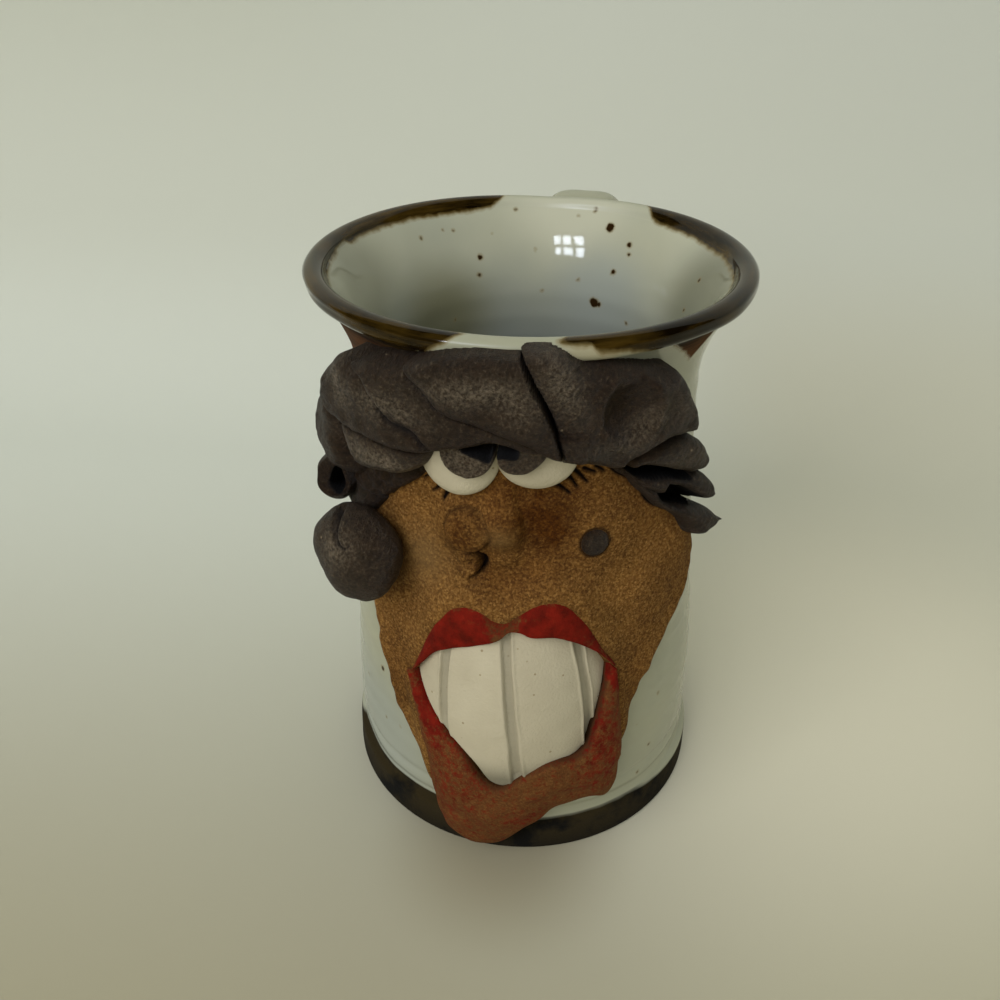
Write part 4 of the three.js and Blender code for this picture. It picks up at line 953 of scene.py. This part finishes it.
# Dark stoneware, left bare: almost black brown, with a painted sheen on its raised parts and fine scratches.
dark_clay, tree, shader, place_socket = finish_of("bare_dark_stoneware",
                                                  {"IOR": 1.5, "Specular IOR Level": 0.3})
clouds = add(tree, "TexNoise", {"Scale": 160, "Detail": 5, "Roughness": 0.6}, {"Vector": place_socket})
tone = add(tree, "MixRGB", {"Color1": paint("#261a0e"), "Color2": paint("#463423")}, {"Fac": clouds})
# Fine scratches, painted paler: partly the clay's own scratches, partly painted glints.
lines_at = add(tree, "Mapping", {"Rotation": (0.5, 0.9, 0.6), "Scale": (1.0, 0.16, 1.0)},
               {"Vector": place_socket})
scratches = add(tree, "TexNoise", {"Scale": 1900, "Detail": 4, "Roughness": 0.7}, {"Vector": lines_at})
scratch_and_glint_share = add(tree, "MapRange", {"From Min": 0.56, "From Max": 0.7, "To Max": 0.7}, {"Value": scratches})
tone = add(tree, "MixRGB", {"Color2": paint("#6b5c48")}, {"Fac": scratch_and_glint_share, "Color1": tone})
tone = specked(tree, place_socket, tone, 480, 0.86, 0.15, (-0.02, 0.03), 0.8, "#a08d72")
# Painted sheen: where fingers and tools rubbed the clay it is painted silvery, over fine scratches.
# Deep in its hollows it is painted black, as painted shade.
sheen_field = add(tree, "Attribute", {"attribute_name": "sheen"}).outputs["Fac"]
painted_sheen = add(tree, "MapRange", {"From Min": 0.38, "From Max": 0.6, "To Min": 0.1}, {"Value": scratches})
painted_sheen = add(tree, "Math", {"operation": "MULTIPLY", "use_clamp": True}, {0: painted_sheen, 1: sheen_field})
tone = add(tree, "MixRGB", {"Color2": paint("#8a7c68")}, {"Fac": painted_sheen, "Color1": tone})
pits = add(tree, "TexNoise", {"Scale": 1100, "Detail": 5, "Roughness": 0.75}, {"Vector": place_socket})
pitted = add(tree, "MapRange", {"From Min": 0.36, "From Max": 0.64, "To Min": 0.5, "To Max": 1.3},
             {"Value": pits})
tone = add(tree, "MixRGB", {"blend_type": "MULTIPLY", "Fac": 1.0}, {"Color1": tone, "Color2": pitted})
painted_hollow_shade = add(tree, "Attribute", {"attribute_name": "hollow"}).outputs["Fac"]
tone = add(tree, "MixRGB", {"Color2": paint("#0d0703")}, {"Fac": painted_hollow_shade, "Color1": tone})
tree.links.new(tone.outputs[0], shader.inputs["Base Color"])
dull = add(tree, "MapRange", {"To Min": 0.36, "To Max": 0.62}, {"Value": scratches})
dull = add(tree, "Math", {"operation": "MAXIMUM"}, {0: dull, 1: painted_hollow_shade})
tree.links.new(dull.outputs[0], shader.inputs["Roughness"])
relief = add(tree, "Math", {"operation": "ADD"}, {0: pits, 1: scratches})
lift = add(tree, "Bump", {"Strength": 1.0, "Distance": 0.0012}, {"Height": relief})
tree.links.new(lift.outputs[0], shader.inputs["Normal"])

for name, middle, half in (("eyeball_left", (-8.2, 104.3, 4.2), (7.6, 8.6, 3.4)),
                           ("eyeball_right", (5.7, 105.1, 4.2), (7.4, 6.8, 3.2))):
    pressed_disc(name + "_disc", middle, half, 1.3, white_clay, name, 21 + len(name))
pressed_disc("beauty_spot_disc", (17.1, 84.8, 3.5), (2.75, 2.9, 1.3), 2.2, dark_clay,
             "beauty_spot", 41)


# Hair. Rolls and flattened pads of the dark clay, laid over one another round the neck and pressed on, so
# that creases run between them. A ball of it hangs at the left and thin curls lie at the right.
def wall_out(up):
    """How far the mug's own outer wall stands from its core, in mm."""
    up = np.asarray(up, float)
    bend = lip_height - lip_roll * 0.5
    flare = np.where(up > neck_height, flare_radius(np.minimum(up, bend)), core_radius(up))
    lip = lip_radius + np.sqrt(np.clip(lip_roll ** 2 - (up - lip_height) ** 2, 0, None))
    return np.where(up > bend, lip, flare) - core_radius(up)


def pad(across, up, outline, top, tilt, soft, low, seed, ridge=0.0):
    """One pad of clay, as heights from the core: its top and tilt, how soft its edge is, how low it ends."""
    edge = smooth_line(outline, closed=True, steps=6)
    deep = inside_by(across, up, edge) + flat_grain(across, up, 4, seed) * 0.5
    middle = edge.mean(0)
    low = np.maximum(low, wall_out(up) - 0.5)
    crest = np.maximum(top + tilt[0] * (across - middle[0]) + tilt[1] * (up - middle[1]), ridge)
    crest = np.maximum(crest, low + 0.8)
    share = np.clip(deep / soft, 0, 1)
    dome = low + (crest - low) * np.sqrt(1 - (1 - share) ** 2)
    # Outside the outline it drops to 3 mm under the core.
    return -3 + (dome + 3) * step_up(deep, -0.5, 0.25)


def lay_hair(name, across, up, out, nodes, fields):
    """Lays a closed sheet of dark clay whose face is out; it is left out where its face is under the wall."""
    under = wall_out(up)
    deep = np.where(up > lip_height, np.maximum(under - 1.9, lip_radius - core_radius(up) + 0.1), under - 1.9)
    front = place(across, up, np.maximum(out, deep + 0.6))
    front[..., 1] = np.maximum(front[..., 1], -front_reach - 0.1)
    lay_sheet(name, front, place(across, up, deep), grid_cells(out > under - 1.2, np.logical_or), dark_clay,
              nodes, fields)


def fingered(across, up, out, seed):
    """Lumps and fine wrinkles that fingers leave on soft clay."""
    wrinkles = flat_grain(0.8 * across - 0.6 * up, (0.6 * across + 0.8 * up) * 0.35, 0.9, seed + 2) * 0.16
    wrinkles += flat_grain(across, up, 2.0, seed + 1) * 0.2
    return out + flat_grain(across, up, 6, seed) * 0.8 + wrinkles


grid = 0.29
across, up = np.meshgrid(np.arange(-46, 44.5, grid), np.arange(86, 127.95, grid))
back_pad = pad(across, up, [
    (-31, 113), (-36, 112.5), (-40, 109.5), (-43, 105.5), (-43.8, 101), (-42.5, 96.5), (-39, 93), (-34, 91.6),
    (-29.5, 92.6), (-27.5, 95.4), (-28, 99), (-29, 104), (-29, 109)], 11.2, (0.10, 0.0), 5.0, 1.0, 50)
brow_pad = pad(across, up, [
    (-30.8, 106.5), (-30.4, 103.6), (-29.4, 101.2), (-27.9, 99.2), (-25.6, 97.7), (-21.9, 97.6), (-17.5, 98.9),
    (-14.5, 100.6), (-12.4, 102.6), (-11.0, 105.2), (-10.8, 108.6), (-18.3, 110), (-27.4, 110)],
    11.8, (0.0, -0.06), 4.2, 5.5, 51)
side_pad = pad(across, up, [
    (-24.3, 120.6), (-28, 120), (-31.5, 117.8), (-34.2, 114.2), (-35.4, 110.5), (-34.8, 107.8), (-32.6, 106.6),
    (-30.6, 106.1), (-28.1, 105.4), (-24.7, 105.2), (-21.8, 105), (-18.8, 104.9), (-15.9, 104.9),
    (-12.6, 105.5), (-10.4, 106.4), (-9.5, 109), (-12, 113), (-18.8, 119)], 12.8, (0.03, -0.05), 3.6, 7.2, 52)
temple_pad = pad(across, up, [
    (-24.8, 120.4), (-20.8, 121.6), (-16.6, 122.4), (-13.6, 122.8), (-8, 121), (0, 116), (6, 110.5),
    (11.4, 107.0), (9.4, 106.6), (6.8, 107.8), (4.4, 108.3), (1.4, 109.2), (-0.8, 109.4), (-3.2, 109.2),
    (-5.4, 108.4), (-8, 107.8), (-9.6, 107.2), (-11.2, 107.6), (-14.1, 108.8), (-16.0, 109.8), (-18.1, 111.1),
    (-19.6, 113.2), (-20.8, 115.6), (-22.4, 118.0)], 12.3, (-0.12, -0.04), 2.4, 9.0, 53)
crown_pad = pad(across, up, [
    (-14.2, 123), (-11.9, 124.8), (-9.7, 125.6), (-5.6, 126.6), (-1.3, 126.8), (1.4, 126.9), (5.5, 126.6),
    (9, 124.4), (12.4, 116), (14, 109.4), (12.8, 106.2), (8.4, 107.4), (4.6, 109.9), (2.2, 111.1), (0.1, 112),
    (-2.7, 113.2), (-5.3, 114.3), (-7.5, 115), (-9.6, 116.3), (-11.2, 118.3), (-12.4, 120.2)],
    14.0, (-0.02, 0.03), 3.4, 10.6, 54)
# The fold's ridge stands up along the slit.
slit = smooth_line([(2.4, 127.9), (3.2, 126.1), (3.8, 124.6), (4.8, 121.6), (6.0, 118.9), (7.0, 116.3),
                    (7.9, 113.4), (8.5, 110.6), (9.0, 108.6), (9.3, 106.4)])
away, share = from_line(across, up, slit + [3.2, 0.5])
fold_ridge = 14.0 - 1.7 * share - 0.12 * away ** 2
fold_pad = pad(across, up, [
    (-0.4, 124), (-0.4, 126.2), (1.4, 127.3), (4, 127.8), (6.3, 127.6), (8.6, 126.7), (10.6, 125.4),
    (13.4, 124.2), (17.2, 123.2), (21.5, 122.4), (23.8, 121.6), (26.8, 120.7), (29.1, 119.5), (30.9, 117.4),
    (32.5, 114.6), (34, 111.3), (35.5, 107.7), (35.7, 105.5), (36.2, 104.9), (34.4, 104.7), (32.1, 105.2),
    (29.8, 105.7), (27.4, 106.1), (24.7, 105.7), (22.9, 104.9), (20.9, 104.0), (20.0, 102.7), (17.5, 102.7),
    (15.8, 103.3), (14.1, 103.9), (12.3, 104.9), (10.2, 105.4), (7.6, 106), (5.4, 108.4), (4.1, 112.4),
    (3.0, 116), (1.6, 119.6), (0.4, 122)], 11.6, (-0.075, 0.02), 3.0, 5.0, 55, ridge=fold_ridge)
# The thumb's dish and the soft rim it pushed up.
dish = np.hypot((across - 19.4 + (up - 115.5) * 0.08) / 4.9, (up - 115.3) / 6.6)
fold_pad -= 2.6 * np.clip(1 - dish ** 2, 0, 1) ** 0.9 - 0.45 * np.exp(-((dish - 1.1) / 0.16) ** 2)
right_of_slit = across - np.interp(up, slit[::-1, 1], slit[::-1, 0])
left_pads = np.sort(np.stack([back_pad, brow_pad, side_pad, temple_pad, crown_pad]), axis=0)
# Where two pads meet, a crease runs between them.
crease_width, crease_depth = 0.5, 1.1
crease = np.exp(-((left_pads[-1] - left_pads[-2]) / crease_width) ** 2) * (left_pads[-2] > 1)
left_band = left_pads[-1] - crease_depth * crease
band = np.where(right_of_slit > 0, np.maximum(fold_pad, np.where(up < 112, left_band, -3)), left_band)
away, share = from_line(across, up, slit)
slit_half = 0.03 + 0.12 * np.sin(np.pi * np.clip(share * 1.05, 0, 1)) ** 0.8
slit_open = (1 - step_up(away, slit_half, slit_half + 0.22)) * (1 - step_up(share, 0.93, 1.0))
band -= (6.5 - 4 * step_up(share, 0.55, 0.8)) * slit_open
band = fingered(across, up, band, 56)
# Painted sheen where it was rubbed: middle, half sizes, lean and strength of each silvery place.
band_sheen = np.zeros(across.shape)
for middle_across, middle_up, wide, tall, lean, strength in (
        (-3, 121, 8, 2.6, -0.12, 0.9), (3, 118, 3, 3, 0, 0.5), (-17.5, 114.6, 6.5, 3, 0.1, 0.85),
        (-27, 115, 2, 5, 0.25, 0.7), (-20, 102.4, 8.5, 2.4, 0.12, 1.0), (8.6, 121.5, 2.4, 6, 0.25, 0.8),
        (22.4, 112, 3, 3.4, -0.3, 0.6), (17, 109, 4, 2, 0, 0.35), (30, 113, 5, 4, 0, 0.3)):
    along_side = across - middle_across - lean * (middle_up - up)
    place_share = (along_side / wide) ** 2 + ((up - middle_up + lean * along_side) / tall) ** 2
    band_sheen += strength * np.exp(-place_share)
# The slit and the creases between the pads are painted black as painted shade.
lay_hair("hair_front_band", across, up, band,
         ["hair_fold_right", "hair_lobe_crown_left", "hair_lobe_temple_left", "hair_lobe_brow_left",
          "hair_lobe_side_left", "hair_lobe_back_left"],
         {"sheen": band_sheen, "hollow": np.maximum(slit_open, crease * 0.8)})

# The pupils: flat dark discs half under the hair, each with a hollow at its inner top corner that is
# painted black as painted shade, and with painted sheen, more on the left one.
pupils = {
    "pupil_left": ([(-10.2, 110), (-9.9, 107), (-9.5, 104.6), (-8.2, 102.8), (-6.4, 102.2), (-4.5, 102.3),
                    (-2.4, 103.3), (-1.3, 105.2), (-1.1, 108), (-1.6, 110.5), (-9, 111)],
                   [(-6.0, 107.8), (-4.6, 107.1), (-3.4, 106.7), (-2.0, 106.1), (-1.5, 107), (-1.3, 109),
                    (-1.6, 112), (-6.4, 112)]),
    "pupil_right": ([(-0.6, 109.5), (-0.8, 107), (-0.6, 105.2), (0.4, 104), (2.1, 103.2), (4.4, 103.5),
                     (6.0, 104.9), (7.0, 107), (7.1, 109), (6.5, 111), (0, 111)],
                    [(-0.9, 109), (-0.7, 107), (0.3, 107.2), (1.3, 107.0), (2.3, 107.1), (2.6, 108.6),
                     (2.4, 112), (-0.8, 112)]),
}
pupil_grid = 0.2
across, up = np.meshgrid(np.arange(-11.5, 8.5, pupil_grid), np.arange(101, 112, pupil_grid))
for order, (name, (outline, hollow_outline)) in enumerate(pupils.items()):
    disc = pad(across, up, outline, 10.2, (0, 0.05), 0.8, 8.4, 66 + order)
    dent = inside_round(across, up, hollow_outline)
    dented = step_up(dent, -0.15, 0.35)
    disc = fingered(across, up, disc - 2.4 * dented * (disc > 2), 68 + order)
    lay_hair(name + "_disc", across, up, disc, [name],
             {"hollow": step_up(dent, -0.5, -0.15), "sheen": 0.7 - 0.35 * order - dented})

# The strip from the ringlet to the eye, laid rough under the brow.
across, up = np.meshgrid(np.arange(-40, -8, grid), np.arange(80, 108, grid))
stem_pad = pad(across, up, [
    (-33, 93.4), (-29, 96.5), (-24, 99), (-17, 101), (-12, 104), (-10.4, 103.4), (-11.6, 101.2), (-14.7, 98),
    (-18, 95.2), (-21.8, 92), (-26.4, 88.6), (-32, 88.8)], 5.8, (-0.05, 0.0), 1.6, 2.5, 57)
neck_pad = pad(across, up, [
    (-37, 93), (-37.4, 87), (-35, 83), (-30, 83.5), (-27, 86), (-25, 89.4), (-26, 92.4), (-30, 95)],
    6.0, (-0.1, 0), 1.6, 2.0, 60)
stem = np.maximum(stem_pad + flat_grain(across, up, 1.6, 58) * 0.7, neck_pad)
lay_hair("hair_stem_left_strip", across, up, fingered(across, up, stem, 59), ["hair_stem_left"], {})

# Three curls at the right, pinched apart so that hollows stay between them, painted black as painted shade.
across, up = np.meshgrid(np.arange(18, 48.5, grid), np.arange(76, 109, grid))
curl_pads = [
    pad(across, up, [
        (20, 104.3), (20.6, 104.7), (22.9, 105.3), (24.7, 106), (27.4, 106.4), (29.7, 106), (32, 105.5),
        (34.4, 104.8), (38.1, 101.9), (40.6, 98.8), (42, 96.2), (41.3, 94.5), (40, 93.8), (37, 94.9),
        (32.1, 97.7), (26.6, 100.5), (23.1, 101.8), (21.6, 101.8)], 9.5, (-0.06, 0.03), 2.4, 5.5, 61),
    pad(across, up, [
        (21.4, 101.1), (22, 100.7), (23.2, 99.7), (26.8, 98.2), (30.7, 96.9), (35, 94.9), (37.3, 94.5),
        (40.3, 93.7), (43.7, 89.2), (45.4, 86.3), (42.4, 86.2), (40, 87.8), (37.5, 89.8), (32.5, 93.6),
        (29.9, 95.1), (29.5, 93.4), (26.3, 95), (23.6, 97.6)], 8.8, (0.0, 0.0), 1.8, 5.0, 62),
    pad(across, up, [
        (21.6, 100.7), (22.6, 99.9), (26.1, 96.8), (29.4, 94.3), (30.1, 92.3), (31.5, 90.5), (35.6, 88.1),
        (39.3, 86.2), (42.8, 84.5), (45.9, 81.7), (50, 77.5), (47.4, 77.6), (43.4, 78.9), (40, 78.8),
        (38.2, 80.7), (36.7, 83.5), (31.8, 87.8), (27.3, 91.7), (24.6, 94.9), (22.7, 98.4)],
        8.0, (0.09, 0.0), 2.0, 2.5, 63),
    # A thin web of clay lies under all three.
    pad(across, up, [
        (19.8, 101), (25, 104), (33, 102), (38, 99), (41, 95.5), (42.2, 91), (41.8, 87.5), (39.5, 85.6),
        (36, 87), (29, 91.5), (23, 97)], 4.8, (0, 0), 1.0, 1.0, 64),
]
in_hollow = np.maximum.reduce([inside_round(across, up, corners) for corners in hollows])
curls = np.maximum.reduce(curl_pads)
curls -= (curls - 1.2) * step_up(in_hollow, -0.2, 0.15) * (curls > 1.2)
# Under the fold the upper curl is tucked in, over a gap at its right end that is painted black as painted
# shade.
tuck_depth, tuck_line = 2.5, smooth_line([(35.2, 105.0), (32.1, 105.6), (29.4, 106.0), (25, 106), (21, 104.4)])
away, share = from_line(across, up, tuck_line)
tuck = np.exp(-(away / 0.55) ** 2) * (1 - step_up(share, 0.35, 0.75))
curls -= tuck_depth * tuck
# Painted sheen lies on the upper curl.
curl_sheen = 0.35 * np.exp(-(((across - 33) / 6) ** 2 + ((up - 101) / 2.5) ** 2))
lay_hair("hair_right_curls", across, up, fingered(across, up, curls, 65),
         ["hair_curl_right_upper", "hair_curl_right_middle", "hair_curl_right_lower"],
         {"sheen": curl_sheen, "hollow": np.maximum(step_up(in_hollow, -0.8, -0.35), tuck)})

# The ringlet: a short coil end that stands out from the wall, open in its middle, where its bore is painted
# black as painted shade.
ring_sides = 48
ring_profile = smooth_line([(2.5, -7.5), (2.5, -3), (2.6, -0.4), (3.3, 0.4), (4.0, -0.6), (4.2, -4), (4.1, -8)],
                           steps=8)
ring_reach, ring_depth = ring_profile[:, 0, None, None], ring_profile[:, 1, None, None]
ring_middle = place(-34.6, 91, 10.2)
ring_out = ring_middle * [1, 1, 0] / np.linalg.norm(ring_middle[:2]) + [0.15, -1.25, 0.3]
ring_out /= np.linalg.norm(ring_out)
ring_side = np.cross([0, 0, 1], ring_out)
ring_side /= np.linalg.norm(ring_side)
ring_rise = np.cross(ring_out, ring_side)
around = 2 * np.pi * np.arange(ring_sides)[:, None] / ring_sides
ring_rows = (ring_middle + ring_reach * (np.cos(around) * ring_side + np.sin(around) * ring_rise * 1.2)
             + ring_depth * ring_out)
# Its bore lies low and to the right of its middle.
ring_rows = ring_rows + step_up(-ring_reach, -3.3, -2.6) * (1.3 * ring_side - 0.7 * ring_rise)
ring_bore_shade = np.repeat(step_up(-ring_profile[:, 1], 0.0, 0.9) * (ring_profile[:, 0] < 3), ring_sides)
ring_points = ring_rows.reshape(-1, 3)
ring_points = ring_points + np.stack([grain(ring_points, 3.5, s) for s in (160, 161, 162)], 1) * 0.5
# Instead of two end faces, its last section joins its first.
ring_end = (len(ring_profile) - 1) * ring_sides
ring_faces = tube_faces(len(ring_profile), ring_sides)[:-2]
ring_faces += [(ring_end + (j + 1) % ring_sides, ring_end + j, j, (j + 1) % ring_sides)
               for j in range(ring_sides)]
clay_piece("hair_ringlet_left_coil", ring_points, ring_faces, dark_clay, ["hair_ringlet_left"],
           {"hollow": ring_bore_shade})

# The ball, a little flat, with cracks where its flap was folded over. The seam is painted dark as painted
# shade, and its upper front carries painted sheen.
ball_rings, ball_sides, ball_half = 130, 160, [9.0, 10, 7.6]
polar = np.linspace(0.01, np.pi - 0.01, ball_rings)[:, None]
around = 2 * np.pi * np.arange(ball_sides) / ball_sides
ball = np.stack([np.sin(polar) * np.cos(around), np.sin(polar) * np.sin(around),
                 np.cos(polar) * np.ones(ball_sides)], -1).reshape(-1, 3)
ball_middle = place(-26.1, 78.6, 10.4)
ball_out = ball_middle * [1, 1, 0] / np.linalg.norm(ball_middle[:2])
ball_frame = np.stack([np.cross([0, 0, 1], ball_out), [0, 0, 1], ball_out])
swell = 1 + grain(ball * 9, 5, 170) * 0.05 + grain(ball * 9, 1.6, 171) * 0.016
# The flap's seam and a short crack beside it, as directions from the ball's middle.
seam = smooth_line([(-0.42, 0.95, 0.05), (-0.35, 0.93, 0.14), (-0.19, 0.87, 0.45), (-0.04, 0.74, 0.67),
                    (0.08, 0.64, 0.76), (0.21, 0.57, 0.79), (0.33, 0.55, 0.77), (0.40, 0.62, 0.68)], steps=8)
to_seam = np.linalg.norm(ball[:, None] - seam[None], axis=2)
at_seam, to_seam = to_seam.argmin(1) / (len(seam) - 1), to_seam.min(1)
swell -= (0.20 - 0.14 * at_seam) * np.exp(-(to_seam / (0.085 - 0.045 * at_seam)) ** 2)
side_crack = smooth_line([(-0.1, 0.56, 0.82), (0.07, 0.62, 0.78)], steps=8)
to_crack = np.linalg.norm(ball[:, None] - side_crack[None], axis=2).min(1)
swell -= 0.03 * np.exp(-(to_crack / 0.03) ** 2)
swell += 0.13 * np.exp(-(((ball[:, 0] + 0.75) / 0.5) ** 2 + ((ball[:, 1] - 0.45) / 0.6) ** 2))
ball_points = ball_middle + (ball * swell[:, None] * ball_half) @ ball_frame
ball_sheen = 0.12 + 0.8 * np.exp(-np.linalg.norm((ball - [0.15, 0.5, 0.85]) / [0.4, 0.35, 0.5], axis=1) ** 2)
clay_piece("hair_ball_left_ball", ball_points, tube_faces(ball_rings, ball_sides), dark_clay,
           ["hair_ball_left", "hair_ball_flap_left"],
           {"sheen": ball_sheen, "hollow": 0.7 * np.exp(-(to_seam / (0.06 - 0.035 * at_seam)) ** 2)})
